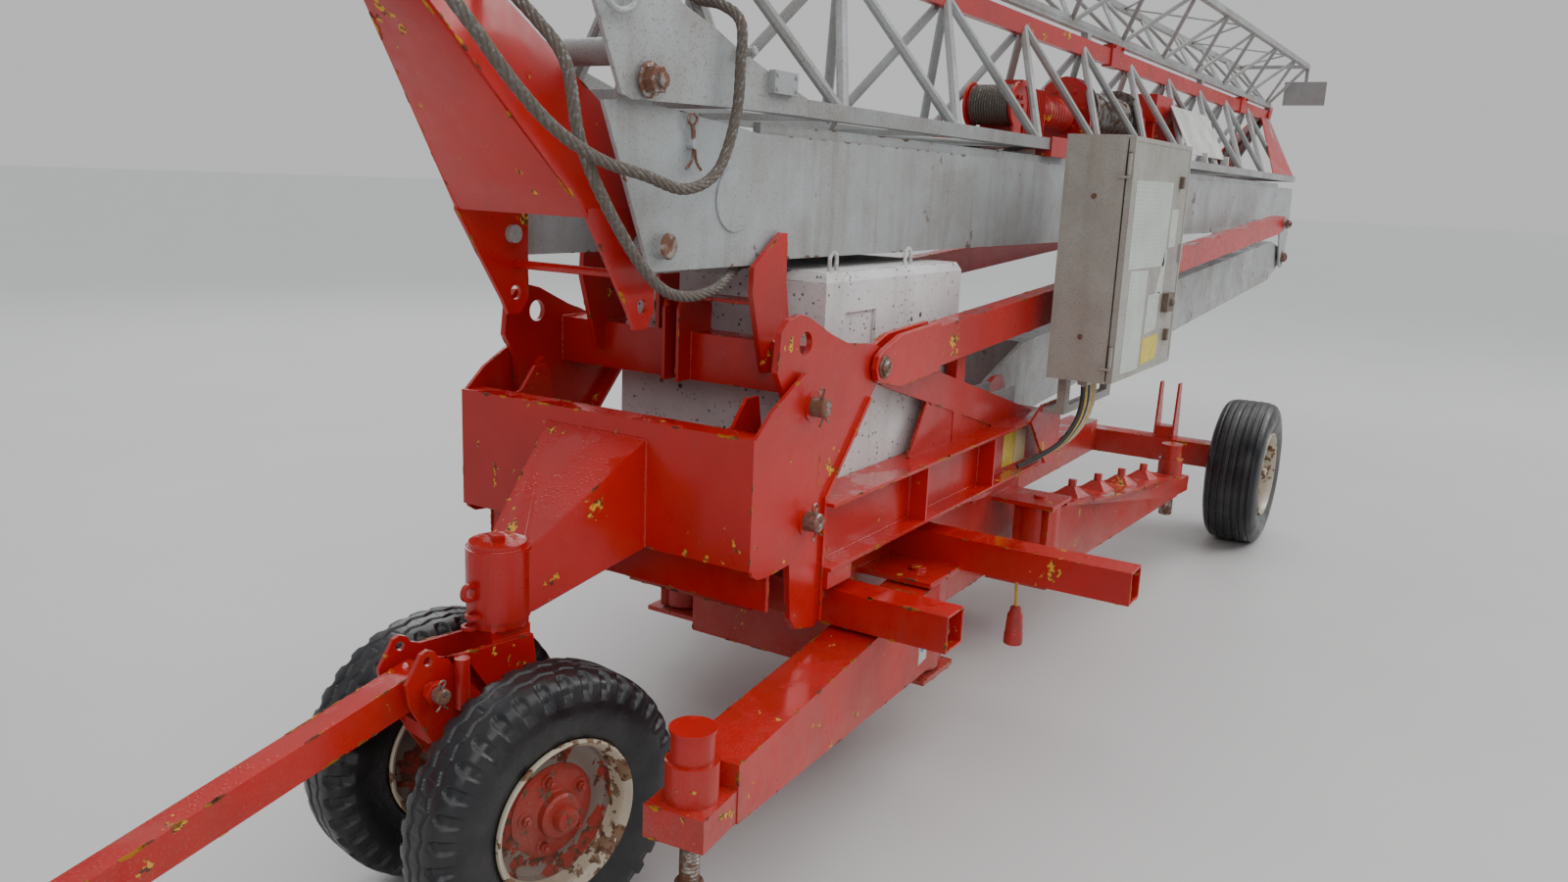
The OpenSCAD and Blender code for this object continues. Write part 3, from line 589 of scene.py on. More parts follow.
# %% Dress the rigid nodes
CHIPS = {}
CHIP_EDGE_MIN = 0.08
CHIP_ANGLES = (0.9, 2.2)
CHIP_LONG = (0.010, 0.030)
CHIP_WIDE = (0.003, 0.009)
CHIP_SKIN = 0.0006
RED_CHIPS_PER_METRE, GREY_CHIPS_PER_METRE = 10.0, 4.0
MERGE_WITHIN = 0.00002
FLAT_WITHIN = math.radians(0.4)
EDGE_ANGLE = 28
chance = random.Random(41)


def chip_edge(soup, edge, per_metre):
    """Small ragged slivers of old coat over a sharp outer edge, closed on the inside."""
    if len(edge.link_faces) != 2 or not edge.is_convex or edge.calc_length() < CHIP_EDGE_MIN:
        return
    if not CHIP_ANGLES[0] < edge.calc_face_angle() < CHIP_ANGLES[1]:
        return
    start, end = (v.co.copy() for v in edge.verts)
    along = (end - start).normalized()
    normals = [face.normal.copy() for face in edge.link_faces]
    sides = []
    for face, normal in zip(edge.link_faces, normals):
        away = normal.cross(along)
        sides.append(away if away.dot(face.calc_center_median() - start) > 0 else -away)
    for _ in range(int((end - start).length * per_metre * chance.uniform(0.3, 1.2))):
        long = chance.uniform(*CHIP_LONG) * chance.choice((1, 1, 2.2))
        middle = chance.uniform(long / 2, max(long / 2, (end - start).length - long / 2))
        wide = chance.uniform(*CHIP_WIDE)
        verts = []
        for k in range(6):
            p = start + along * (middle + long * (k / 5 - 0.5))
            full = math.sin(math.pi * (0.08 + 0.84 * k / 5)) * wide
            reach = [full * chance.uniform(0.4, 1.3) for _ in sides]
            outward = (normals[0] + normals[1]) * CHIP_SKIN
            verts += [p + sides[0] * reach[0] + normals[0] * CHIP_SKIN, p + outward,
                      p + sides[1] * reach[1] + normals[1] * CHIP_SKIN, p - outward]
        faces = [(4 * k + c, 4 * k + (c + 1) % 4, 4 * k + 4 + (c + 1) % 4, 4 * k + 4 + c)
                 for k in range(5) for c in range(4)]
        soup.add(verts, faces + [(3, 2, 1, 0), (20, 21, 22, 23)])


def dress(node, body, material, width):
    mesh = NODES[node].data.copy()
    mesh.name = node + "_dressed"
    work = bmesh.new()
    work.from_mesh(mesh)
    bmesh.ops.remove_doubles(work, verts=work.verts, dist=MERGE_WITHIN)
    bmesh.ops.dissolve_limit(work, angle_limit=FLAT_WITHIN, verts=work.verts, edges=work.edges,
                             delimit={"NORMAL"})
    if material in (RED, MAST_GREY):
        per_metre = RED_CHIPS_PER_METRE if material == RED else GREY_CHIPS_PER_METRE
        for edge in work.edges:
            chip_edge(CHIPS.setdefault(body, Soup()), edge, per_metre)
    work.to_mesh(mesh)
    work.free()
    mesh.materials.clear()
    mesh.materials.append(material)
    mesh.materials.append(EDGES.get(material.name, material))
    piece = bpy.data.objects.new(node + "_dressed", mesh)
    bpy.context.scene.collection.objects.link(piece)
    shade(piece, EDGE_ANGLE)
    if width:
        bevel = piece.modifiers.new("edge_round", "BEVEL")
        bevel.width = width
        bevel.segments = 2
        bevel.material = 1
        bevel.limit_method = "ANGLE"
        bevel.angle_limit = math.radians(EDGE_ANGLE)
        bevel.harden_normals = True
        bevel.use_clamp_overlap = True
    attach(piece, body)
    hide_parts(node)
    return piece


RIDGE_BOTTOM = 2.73
BODY_OF = {node: body for body, members in frame["record"]["behaviour"]["bodies"].items()
           for node in members}
PAINTED = {
    "red_paint": (RED, 0.005, ["front_frame", "ballast_cradle", "platform_frame", "slewing_ring",
                               "undercarriage", "axle_beam", "dolly_fork", "drawbar",
                               "leg_front_near", "leg_front_far", "leg_rear_near", "leg_rear_far",
                               "stay_near", "stay_far", "head_strut", "jib_winch"]),
    "grey_paint": (MAST_GREY, 0.005, ["lower_mast", "upper_mast"]),
    "cabinet_steel": (CABINET_GREY, 0.002, ["cabinet", "cabinet_door"]),
    "placard_white": (PLACARD, 0.001, ["jib_placard"]),
    "sheave_iron": (SHEAVE_IRON, 0.002, ["head_sheave"]),
    "concrete": (CONCRETE, 0.012, ["ballast_block"]),
}
for slot, (material, width, members) in PAINTED.items():
    for node in members:
        dress(node, BODY_OF[node], material, width)
for node in ["jib_chords", "jib_side_near", "jib_side_far", "tip_chords", "tip_side_near",
             "tip_side_far", "rod_tray"]:
    lattice = dress(node, BODY_OF[node], LATTICE_GREY, 0.0)
    if node == "jib_chords":
        lattice.data.materials[1] = RED
        for face in lattice.data.polygons:
            face.material_index = 1 if face.center.z > RIDGE_BOTTOM else 0
MAST_BODIES = ("lower_mast", "upper_mast")
CHIP_COAT = make_steel("chipped_edge", rgb(0.55, 0.25, 0.03), rgb(0.12, 0.04, 0.02), 0.55, 0.5, 22.0)
for body, soup in CHIPS.items():
    coat, slot = (SPINDLE, "grey_paint") if body in MAST_BODIES else (CHIP_COAT, "red_paint")
    mount(soup.piece(body + "_edge_chips", coat, None), body)
print("edge chips:", sum(len(soup.faces) for soup in CHIPS.values()), "faces")

# %% [markdown]
# ## Shapes along a line
# Ropes, cables, weld beads and split pins are all something round that follows a line. One helper
# walks along the points, carries a frame with it and joins rings into a tube. A second one draws
# the smooth line through a few chosen points, in the same way as the solids' source does.

# %% Tubes along a line
def flowing(route, steps):
    """Smooth curve through the points of the route, with the given steps between two of them."""
    pts = [Vector(p) for p in route]
    line = []
    for i in range(len(pts) - 1):
        a, b, c, d = pts[max(i - 1, 0)], pts[i], pts[i + 1], pts[min(i + 2, len(pts) - 1)]
        for j in range(steps):
            t = j / steps
            line.append(0.5 * (2 * b + (c - a) * t + (2 * a - 5 * b + 4 * c - d) * t * t
                               + (3 * b - a - 3 * c + d) * t * t * t))
    return line + [pts[-1]]


def line_frames(points):
    """Each point with two directions across the line, turned as little as possible on the way."""
    frames, up = [], None
    for i, p in enumerate(points):
        ahead = (points[min(i + 1, len(points) - 1)] - points[max(i - 1, 0)]).normalized()
        up = ahead.orthogonal() if up is None else up
        up = (up - ahead * up.dot(ahead)).normalized()
        frames.append((p, up, ahead.cross(up)))
    return frames


def tube_shape(points, radius, sides=8):
    points = [Vector(p) for p in points]
    radii = list(radius) if hasattr(radius, "__len__") else [radius] * len(points)
    verts = []
    for (p, up, side), r in zip(line_frames(points), radii):
        for k in range(sides):
            a = 2 * math.pi * k / sides
            verts.append(p + (up * math.cos(a) + side * math.sin(a)) * r)
    return verts, ring_faces(len(points), sides)


def mm(x, y, z):
    """A point in millimetres from the kingpin, as the source of the solids gives them."""
    return at(x * MM, y * MM, z * MM)


STEER = math.radians(11)


def dolly_mm(x, y, z):
    """The same for the dolly, which is drawn straight and then turned about the kingpin."""
    return mm(x * math.cos(STEER) + y * math.sin(STEER), -x * math.sin(STEER) + y * math.cos(STEER), z)


DOLLY_SIDE = Vector((math.sin(STEER), math.cos(STEER), 0))
print("line tools ready")

# %% [markdown]
# ## Tyres
# A tyre is a band of rubber with a pattern cut into it. The front tyres have rounded notches in
# both shoulders and two zigzag grooves round the middle, the rear ones only plain ribs. A profile
# is turned round the axle on a fine grid, and every grid point asks the pattern how deep it lies.

# %% Tyre patterns
def smooth_step(value, width):
    t = np.clip(value / width * 0.5 + 0.5, 0, 1)
    return t * t * (3 - 2 * t)


def dolly_pattern(turn, across, radius):
    """Depth in metres at an angle and a distance from the middle of the tread."""
    pitch = 2 * math.pi / 36
    phase = turn / pitch
    zig = 0.006 * (np.abs((phase * 2) % 2 - 1) * 2 - 1)
    near_groove = np.minimum(np.abs(across - 0.023 - zig), np.abs(across + 0.023 + zig))
    grooves = smooth_step(0.0042 - near_groove, 0.003) * 0.008
    offset = np.where(across > 0, 0.0, 0.5)
    beside = np.abs((phase + offset) % 1 - 0.5) * pitch * radius
    reach = np.clip((np.abs(across) - 0.050) / 0.020, 0, 1)
    notch = smooth_step(0.0155 * np.sqrt(reach) - beside, 0.004)
    notch = notch * smooth_step(np.abs(across) - 0.052, 0.003)
    fade = np.clip((0.142 - np.abs(across)) / 0.03, 0, 1)
    siping = smooth_step(0.0012 - np.abs((phase * 2 + 0.5) % 1 - 0.5) * pitch * radius / 2, 0.002)
    siping = siping * (np.abs(across) < 0.020) * 0.002
    return grooves + notch * 0.010 * fade + siping


def axle_pattern(turn, across, radius):
    grooves = (-0.100, -0.062, -0.022, 0.022, 0.062, 0.100)
    ribs = sum(smooth_step(0.0055 - np.abs(across - c), 0.003) for c in grooves)
    return ribs * 0.008 + 0 * turn


def make_tyre(name, body, node, centre, side, radius, width, bead, pattern, around):
    half = [(bead, 0.36), (bead + 0.02, 0.43), (bead + (radius - bead) * 0.5, 0.5), (radius - 0.032, 0.46),
            (radius - 0.008, 0.37), (radius - 0.001, 0.25), (radius, 0.12), (radius, 0.0)]
    half = [Vector((r, w * width, 0)) for r, w in half]
    line = flowing(half + [Vector((p.x, -p.y, 0)) for p in half[-2::-1]], 24)
    steps = np.array([0] + [(b - a).length for a, b in zip(line, line[1:])]).cumsum()
    middle = steps[-1] / 2
    tread = width * 0.5 + 0.045
    wanted = np.concatenate([np.linspace(0, middle - tread, 18)[:-1],
                             np.arange(middle - tread, middle + tread, 0.0032),
                             np.linspace(middle + tread, steps[-1], 18)])
    rs = np.interp(wanted, steps, [p.x for p in line])
    ys = np.interp(wanted, steps, [p.y for p in line])
    rs = np.minimum(rs, radius)
    slope = np.stack([np.gradient(rs, wanted), np.gradient(ys, wanted)])
    slope /= np.linalg.norm(slope, axis=0)
    across = wanted - middle
    wall_rings = (bead + 0.022, bead + 0.034, bead + (radius - bead) * 0.62)
    rings = 0.0012 * sum(np.exp(-((rs - ring) / 0.0022) ** 2) for ring in wall_rings)
    turn = np.arange(around) * 2 * math.pi / around
    depth = pattern(turn[:, None], across[None, :], radius) - rings[None, :] * (np.abs(across) > tread)
    r = rs[None, :] + depth * slope[1][None, :]
    y = ys[None, :] - depth * slope[0][None, :]
    u = Vector((0, 0, 1))
    v = side.cross(u)
    grid = (np.array(centre)[None, None, :] + y[..., None] * np.array(side)
            + (r * np.cos(turn)[:, None])[..., None] * np.array(u)
            + (r * np.sin(turn)[:, None])[..., None] * np.array(v))
    n = len(wanted)
    verts = grid.reshape(-1, 3).tolist()
    faces = [(i * n + k, i * n + k + 1, ((i + 1) % around) * n + k + 1, ((i + 1) % around) * n + k)
             for i in range(around) for k in range(n - 1)]
    tyre = new_piece(name, verts, faces, RUBBER, 50)
    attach(tyre, body)
    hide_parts(node)
    return tyre


# Radius, width, radius of the bead, pattern and number of grid lines round the axle
FRONT_TYRE = (0.383, 0.200, 0.200, dolly_pattern, 540)
REAR_TYRE = (0.422, 0.300, 0.235, axle_pattern, 144)
REAR_SIDE = Vector((0, 1, 0))
WHEELS = {
    "front_near": (dolly_mm(-30, -254, 383), -DOLLY_SIDE, "front_wheel_near"),
    "front_far": (dolly_mm(-30, 254, 383), DOLLY_SIDE, "front_wheel_far"),
    "rear_near": (mm(5143, -977, 422), -REAR_SIDE, "rear_wheel_near"),
    "rear_far": (mm(5143, 977, 422), REAR_SIDE, "rear_wheel_far"),
}
for place, (centre, side, body) in WHEELS.items():
    node = place.replace("_", "_tyre_")
    make = FRONT_TYRE if place.startswith("front") else REAR_TYRE
    tyre = make_tyre(node + "_rubber", body, node, centre, side, *make)
    print(tyre.name, len(tyre.data.polygons), "faces")

# %% [markdown]
# ## Rims and hubs
# A rim is rolled steel: a deep barrel with a curled lip that holds the tyre, and a pressed disc in
# the middle. Both are turned shapes. The red disc with its cap and five nuts sits deep inside the
# cream barrel, and rust creeps out of every joint.

# %% Rims
RIM_LINE = [(24, 124), (16, 138), (10, 156), (9, 170), (15, 181), (32, 187), (60, 188.5), (78, 190),
            (86, 194), (92, 200), (97, 203), (99, 207), (98, 211), (93, 213), (86, 212), (80, 204),
            (74, 199.4), (10, 197), (-74, 199.4), (-80, 204), (-86, 212), (-92, 213), (-97, 208),
            (-94, 200), (-84, 193), (-60, 190), (-6, 188), (2, 172), (2, 150), (12, 120)]
DISH_RADIUS = 0.186
HUB_LINE = [(101, 1), (101, 23), (98, 31), (90, 34), (74, 35), (72, 54), (66, 60), (46, 61),
            (40, 70), (38, 78), (33, 112), (26, 126), (18, 126), (24, 110), (30, 78), (34, 62),
            (20, 56), (-22, 52), (-22, 31), (76, 31), (76, 1)]


def hex_nut(soup, place, axis, across, height, washer=True, stud=0.0):
    """A nut or bolt head with chamfered corners, on a washer, with the stud's end standing out."""
    axis = Vector(axis).normalized()
    r = across / 2 / math.cos(math.pi / 6)
    base = 0.0
    if washer:
        base = across * 0.09
        soup.turn([(0, r * 1.22), (base * 0.8, r * 1.22), (base, r * 1.16)], place, axis, 24)
    head = [(base, r * 0.93), (base + height * 0.1, r), (base + height * 0.86, r),
            (base + height, r * 0.88)]
    soup.turn(head, place, axis, 6, spin=0.35)
    if stud:
        soup.turn([(base + height * 0.5, r * 0.52), (base + height + stud, r * 0.52),
                   (base + height + stud + 0.001, r * 0.44)], place, axis, 16)


def make_rim(place, centre, side, body, grow, wide, cap):
    node = place.replace("_", "_rim_")
    ring = [(a * wide * MM, (r + (grow if r > 130 else 0)) * MM) for a, r in RIM_LINE]
    barrel = new_piece(node + "_barrel", *turned(ring, centre, side, 72), RIM_CREAM, 35)
    barrel.data.materials.append(RIM_DISH)
    for face in barrel.data.polygons:
        away = face.center - centre
        if (away - side * away.dot(side)).length < DISH_RADIUS:
            face.material_index = 1
    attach(barrel, body)
    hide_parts(node)
    hub = Soup()
    hub.turn([((a * cap) * MM, r * MM) for a, r in HUB_LINE], centre, side, 48)
    u, v = side.orthogonal().normalized(), side.cross(side.orthogonal().normalized())
    for k in range(5):
        a = 2 * math.pi * (k + 0.3) / 5
        spot = centre + side * (0.0345 * cap) + (u * math.cos(a) + v * math.sin(a)) * 0.092
        hub.turn([(0, 0.021), (0.003, 0.021), (0.0045, 0.016)], spot, side, 20)
        hex_nut(hub, spot + side * 0.003, side, 0.024, 0.014, False, 0.006)
    for k in range(3):
        a = 2 * math.pi * k / 3
        spot = centre + side * (0.100 * cap) + (u * math.cos(a) + v * math.sin(a)) * 0.016
        hub.turn([(0, 0.005), (0.003, 0.0045)], spot, side, 8)
    coat = HUB_RED if place.startswith("front") else RIM_CREAM
    mount(hub.piece(node + "_hub", coat, 35), body)


for place, (centre, side, body) in WHEELS.items():
    front = place.startswith("front")
    grow, wide, cap = (0, 1.0, 1.0) if front else (35, 1.42, 1.3)
    make_rim(place, centre, side, body, grow, wide, cap)

# %% [markdown]
# ## Wire ropes
# A wire rope is six strands laid round a core, and the slope of the strands is what the eye knows
# it by. Each strand is a thin tube that winds round the rope's own line. The line repeats the
# route that the solids have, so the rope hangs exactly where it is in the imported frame.

# %% Ropes
ROPE_RADIUS = 0.015
ROPE_LAY = 0.19
STRANDS = 6
CORE_SHARE, STRAND_SHARE, STRAND_CIRCLE = 0.70, 0.415, 0.585
ROPE_ROUTES = {
    "rope_front": [(-575, -105.3, 2700), (-565, -105.3, 2640), (-530, -190, 2500),
                   (-440, -330, 2330), (-310, -370, 2180), (-180, -370, 2090), (-30, -370, 2030),
                   (130, -370, 2000), (290, -375, 1970), (430, -375, 2020), (505, -375, 2160),
                   (520, -375, 2290), (530, -365, 2400), (550, -290, 2450), (578, -200, 2470),
                   (583, -151, 2492)],
    "rope_rear": [(-140, -105.5, 2455), (-100, -124, 2420), (-75, -210, 2340), (-70, -300, 2240),
                  (-50, -330, 2060), (60, -345, 1880), (190, -360, 1740), (330, -345, 1695),
                  (500, -320, 1700), (640, -275, 1730), (740, -240, 1752), (820, -220, 1754.5)],
}


def path_length(points):
    return sum((b - a).length for a, b in zip(points, points[1:]))


def make_rope(node, route):
    fine = flowing([mm(*p) for p in route], 24)
    frames = line_frames(fine)
    soup = Soup()
    soup.tube(fine, ROPE_RADIUS * CORE_SHARE, 10)
    for strand in range(STRANDS):
        run, last, line = 0.0, frames[0][0], []
        for p, up, side in frames:
            run += (p - last).length
            last = p
            a = 2 * math.pi * (strand / STRANDS + run / ROPE_LAY)
            line.append(p + (up * math.cos(a) + side * math.sin(a)) * ROPE_RADIUS * STRAND_CIRCLE)
        soup.tube(line, ROPE_RADIUS * STRAND_SHARE, 9)
    rope = soup.piece(node + "_strands", ROPE_STEEL, 60)
    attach(rope, "upper_mast")
    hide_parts(node)
    return rope, path_length(fine)


for node, route in ROPE_ROUTES.items():
    rope, long = make_rope(node, route)
    print(rope.name, round(long, 3), "m,", len(rope.data.polygons), "faces")

# %% [markdown]
# ## Cables under the cabinet
# Six rubber cables leave the floor of the cabinet and bend inwards to the middle of the slewing
# ring. They are plain tubes, but each has its own colour, as the black, cream and yellow ones do
# on the machine. A clamp bar where they leave the steel keeps them in a row.

# %% Cables
CABLE_RADIUS = 0.010
CABLE_ROUTE = [(2560, -745, 1236), (2560, -745, 1150), (2535, -730, 1070), (2480, -690, 990),
               (2400, -620, 930), (2340, -572, 900)]
CABLE_COATS = [CABLE_BLACK, CABLE_YELLOW, CABLE_BLACK, CABLE_WHITE, CABLE_YELLOW, CABLE_WHITE]
for i, coat in enumerate(CABLE_COATS):
    route = [mm(x + 30 * i, y, z) for x, y, z in CABLE_ROUTE]
    fine = flowing(route, 8)
    cable = new_piece(f"cable_{i + 1}", *tube_shape(fine, CABLE_RADIUS, 12), coat, 60)
    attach(cable, "base")
    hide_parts("cable_bundle")
clamp = Soup()
clamp.box(mm(2540, -765, 1235), mm(2730, -725, 1260))
for x in (2552, 2718):
    hex_nut(clamp, mm(x, -745, 1235), (0, 0, -1), 0.013, 0.006)
mount(clamp.piece("cable_clamp", CABINET_GREY), "base")
print("cables:", len(CABLE_COATS), "of", round(path_length(fine), 3), "m")

# %% [markdown]
# ## Welds
# The frame is welded from plates, and a fillet runs along every joint. A bead is a thin rod whose
# thickness swells and shrinks a little every few millimetres, because the welder's hand moves in
# steps. It lies in the corner, so half of it is hidden in the plates.

# %% Weld beads
def weld(soup, points, radius=0.0055):
    line = [Vector(points[0])]
    for a, b in zip(points, points[1:]):
        count = max(2, int((b - a).length / 0.007))
        line += [a + (b - a) * (j / count) for j in range(1, count + 1)]
    radii = [radius * (1 + 0.22 * math.sin(i * 2.1) + 0.10 * math.sin(i * 0.71)) for i in range(len(line))]
    soup.tube(line, radii, 6)


def on_both_sides(points):
    return [points, [Vector((p.x, -p.y, p.z)) for p in points]]


BASE_WELDS = [
    [(390, -185, 962), (390, -185, 1275), (390, 0, 1275)],
    [(60, -74, 1010), (40, -74, 1010)],
    [(402, -533, 974), (402, -533, 1316)],
    [(500, -533, 962), (500, -533, 815)],
    [(402, -530, 961), (500, -530, 961)],
    [(800, -500, 1380), (800, -500, 1530), (905, -500, 1530), (905, -500, 1380)],
    [(800, -33, 1530), (905, -33, 1530)],
    [(800, -312, 1530), (905, -312, 1530)],
    [(800, -330, 1530), (905, -330, 1530)],
    [(800, -33, 1532), (800, -33, 1380)],
    [(829, -486, 860), (2700, -486, 860)],
    [(829, -486, 1049), (2700, -486, 1049)],
    [(1500, -486, 860), (1500, -486, 1049)],
    [(1512, -486, 860), (1512, -486, 1049)],
    [(2120, -486, 860), (2120, -486, 1049)],
    [(2132, -486, 860), (2132, -486, 1049)],
    [(829, -500, 1074), (951, -500, 1203), (1074, -500, 1345)],
    [(829, -520, 1074), (951, -520, 1203), (1074, -520, 1345)],
    [(1540, -456, 1063), (1663, -456, 1252), (1700, -456, 1236)],
    [(1690, -330, 762), (1810, -330, 762)],
    [(920, -250, 762), (1040, -250, 762)],
    [(1040, -250, 645), (1040, -250, 760)],
    [(1440, -330, 654), (1690, -330, 654)],
]
welds = Soup()
for line in BASE_WELDS:
    for copy in on_both_sides([mm(*p) for p in line]):
        weld(welds, copy)
ring = [mm(0, 0, 1027) + Vector((math.cos(a / 24 * math.pi), math.sin(a / 24 * math.pi), 0)) * 0.077
        for a in range(49)]
weld(welds, ring, 0.004)
welds = mount(welds.piece("frame_welds", RED, 60), "base")

print("weld faces:", len(welds.data.polygons))

# %% [markdown]
# ## Pins, nuts and split pins
# The ballast frame hangs on thick pins that are knocked out when the crane is taken apart, so they
# are the only parts without paint: brown, greasy and scraped. A split pin through the end holds
# each one. The big nuts on the mast are made in the same way.

# %% Pins
def split_pin(soup, place, down, across, size=0.085, wire=0.0032):
    down, across = Vector(down).normalized(), Vector(across).normalized()
    bend = [(0.62, 0.26), (0.45, 0.10), (0.2, 0.04), (-0.38, 0.04), (-0.5, 0.14), (-0.62, 0.16),
            (-0.70, 0.0), (-0.62, -0.16), (-0.5, -0.14), (-0.38, -0.04), (0.2, -0.04),
            (0.42, -0.14), (0.55, -0.34)]
    route = [place + down * a * size + across * b * size for a, b in bend]
    soup.tube(flowing(route, 4), wire, 7)


def pin_end(soup, place, axis, radius, long):
    """The visible end of a pin, with a chamfer and a hollow turning centre."""
    soup.turn([(0, radius), (long - 0.004, radius), (long, radius - 0.004), (long, radius * 0.3),
               (long - 0.004, radius * 0.12)], place, axis, 32)


frame_pins, mast_pins, dolly_pins = Soup(), Soup(), Soup()
for s in (-1, 1):
    out = Vector((0, s, 0))
    for x, z in ((690, 1379), (683, 1043)):
        pin_end(frame_pins, mm(x, s * 549, z), out, 0.0285, 0.044)
        split_pin(frame_pins, mm(x, s * 580, z), (0.25, 0, -1), (1, 0, 0.25))
    pin_end(frame_pins, mm(1130, s * 545, 1444), out, 0.0205, 0.016)
    hex_nut(frame_pins, mm(1130, s * 545, 1444), out, 0.052, 0.008, True)
    pin_end(mast_pins, mm(285, s * 329, 1825), out, 0.0345, 0.006)
    split_pin(mast_pins, mm(400, s * 317, 2085), (0.1, 0, -1), (1, 0, 0.1), 0.11, 0.004)
    hex_nut(mast_pins, mm(175, s * 346, 2225), out, 0.062, 0.030, True, 0.012)
    hex_nut(mast_pins, mm(9800, s * 300, 1500), out, 0.080, 0.030, True, 0.010)
    hex_nut(mast_pins, mm(8200, s * 556, 1834), out, 0.060, 0.024, True, 0.010)
    pin_end(dolly_pins, dolly_mm(-250, s * 108, 715), DOLLY_SIDE * s, 0.0205, 0.030)
    split_pin(dolly_pins, dolly_mm(-250, s * 128, 715), (0, 0, -1), (1, 0, 0), 0.06, 0.0028)
for soup, name, body in ((frame_pins, "frame_pin_ends", "base"), (mast_pins, "mast_pin_ends", "upper_mast"),
                         (dolly_pins, "dolly_pin_ends", "dolly")):
    mount(soup.piece(name, PIN_STEEL, 35), body)
print("pins on", "base, upper mast and dolly")

# %% [markdown]
# ## Screw jacks
# A jack is a long screw in the sleeve of a leg. The thread is a ridge that climbs round the
# spindle: the radius of each grid point depends on its height and its angle. The foot stays a
# plain collar with a cross hole for the bar that turns it.

# %% Jacks
LEG_ENDS = {"front_near": (1560, -515, 186.5, 468), "front_far": (1560, 515, 21.5, 468),
            "rear_near": (2840, -515, -6.5, 385), "rear_far": (2840, 515, 6.5, 385)}
LEG_LENGTH = 1640


def thread_shape(foot, low, high, radius, depth, pitch, sides=40):
    rows = int((high - low) / (pitch / 6)) + 1
    verts = []
    for i in range(rows):
        z = low + (high - low) * i / (rows - 1)
        for k in range(sides):
            wave = abs((z / pitch + k / sides) % 1 * 2 - 1)
            r = radius - depth * min(1, max(0, wave * 2 - 0.5))
            a = 2 * math.pi * k / sides
            verts.append((foot.x + r * math.cos(a), foot.y + r * math.sin(a), z))
    return verts, ring_faces(rows, sides)


for leg, (x, y, turn, low) in LEG_ENDS.items():
    a = math.radians(turn)
    foot = mm(x + LEG_LENGTH * math.cos(a), y + LEG_LENGTH * math.sin(a), 0)
    soup = Soup()
    soup.add(*thread_shape(foot, 0.338, (low + 230) * MM, 0.0257, 0.0032, 0.010))
    soup.turn([(0.250, 0.030), (0.254, 0.036), (0.334, 0.036), (0.340, 0.031)], foot, (0, 0, 1), 40)
    soup.turn([(-0.0368, 0.0115), (-0.0364, 0.0125), (0.0364, 0.0125), (0.0368, 0.0115)],
              foot + Vector((0, 0, 0.285)), (math.cos(a), math.sin(a), 0), 20)
    screw = soup.piece(f"jack_{leg}_screw", SPINDLE, 40)
    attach(screw, f"jack_{leg}")
    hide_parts(f"jack_{leg}")
print("jacks:", sorted(LEG_ENDS))

# %% [markdown]
# ## Cabinet door and papers
# The grey cabinet carries pale ruled sheets behind foil, one yellow square and a brown latch. The
# sheets stay blank: only their ruling and stains are made. Each is a thin plate
# that stands a millimetre proud of the door, so its edge throws the small shadow that paper does.

# %% Cabinet details
def thin_sheet(soup, corners, thick=1.2):
    """A plate on the door from four corners (x, z) in millimetres, seen from outside."""
    front = [mm(x, -878 - thick, z) for x, z in corners]
    back = [mm(x, -877.6, z) for x, z in corners]
    soup.add(front + back, plate_faces(len(corners)))


def make_ruled_sheet():
    material, w, shader, place = plain_material("ruled_sheet")
    parts = w.node("ShaderNodeSeparateXYZ")
    w.link(place, parts.inputs[0])
    lines = w.math("FRACT", w.times(parts.outputs["Z"], 62.0))
    rule = w.times(w.ramp(lines, 0.26, 0.14), w.ramp(w.noise(place, 9.0, 3.0), 0.40, 0.50))
    tone = w.ramp(w.noise(place, 6.0, 4.0), 0.35, 0.7)
    base = w.mix(tone, rgb(0.56, 0.60, 0.55), rgb(0.47, 0.50, 0.45))
    w.link(w.mix(w.times(rule, 0.35), base, rgb(0.30, 0.34, 0.32)), shader.inputs["Base Color"])
    w.link(w.ramp(tone, 0.0, 1.0, 0.28, 0.42), shader.inputs["Roughness"])
    add_bump(w, shader, w.noise(place, 22.0, 3.0), 0.001)
    return material


RULED_SHEET = make_ruled_sheet()
LATCH_BROWN = make_plain("latch_brown", rgb(0.16, 0.115, 0.08), rgb(0.10, 0.075, 0.055), 0.5)
papers, whites, yellows, latches, screws = Soup(), Soup(), Soup(), Soup(), Soup()
thin_sheet(papers, [(2560, 1713), (3110, 1709), (3132, 2064), (2560, 2062)])
thin_sheet(papers, [(2592, 1290), (2850, 1283), (2868, 1700), (2600, 1706)])
thin_sheet(whites, [(3150, 1786), (3262, 1790), (3266, 1952), (3154, 1950)])
thin_sheet(whites, [(3012, 1600), (3128, 1586), (3140, 1778), (3116, 1780)])
thin_sheet(whites, [(2900, 1428), (3085, 1436), (3092, 1598), (2906, 1592)])
thin_sheet(yellows, [(2884, 1296), (3128, 1304), (3134, 1412), (2888, 1408)], 1.6)
latches.box(mm(3150, -904, 1505), mm(3262, -878, 1588))
latches.turn([(0, 0.016), (0.012, 0.016), (0.016, 0.012)], mm(3206, -904, 1546), (0, -1, 0), 24)
for z in (1398, 2066):
    latches.box(mm(3232, -896, z - 26), mm(3262, -878, z + 26))
for z in (1440, 1995):
    hex_nut(screws, mm(2480, -738, z), (-1, 0, 0), 0.016, 0.007)
for z in (1330, 2080):
    hex_nut(screws, mm(2473, -867, z + 82), (0, 0, 1), 0.012, 0.004, False)
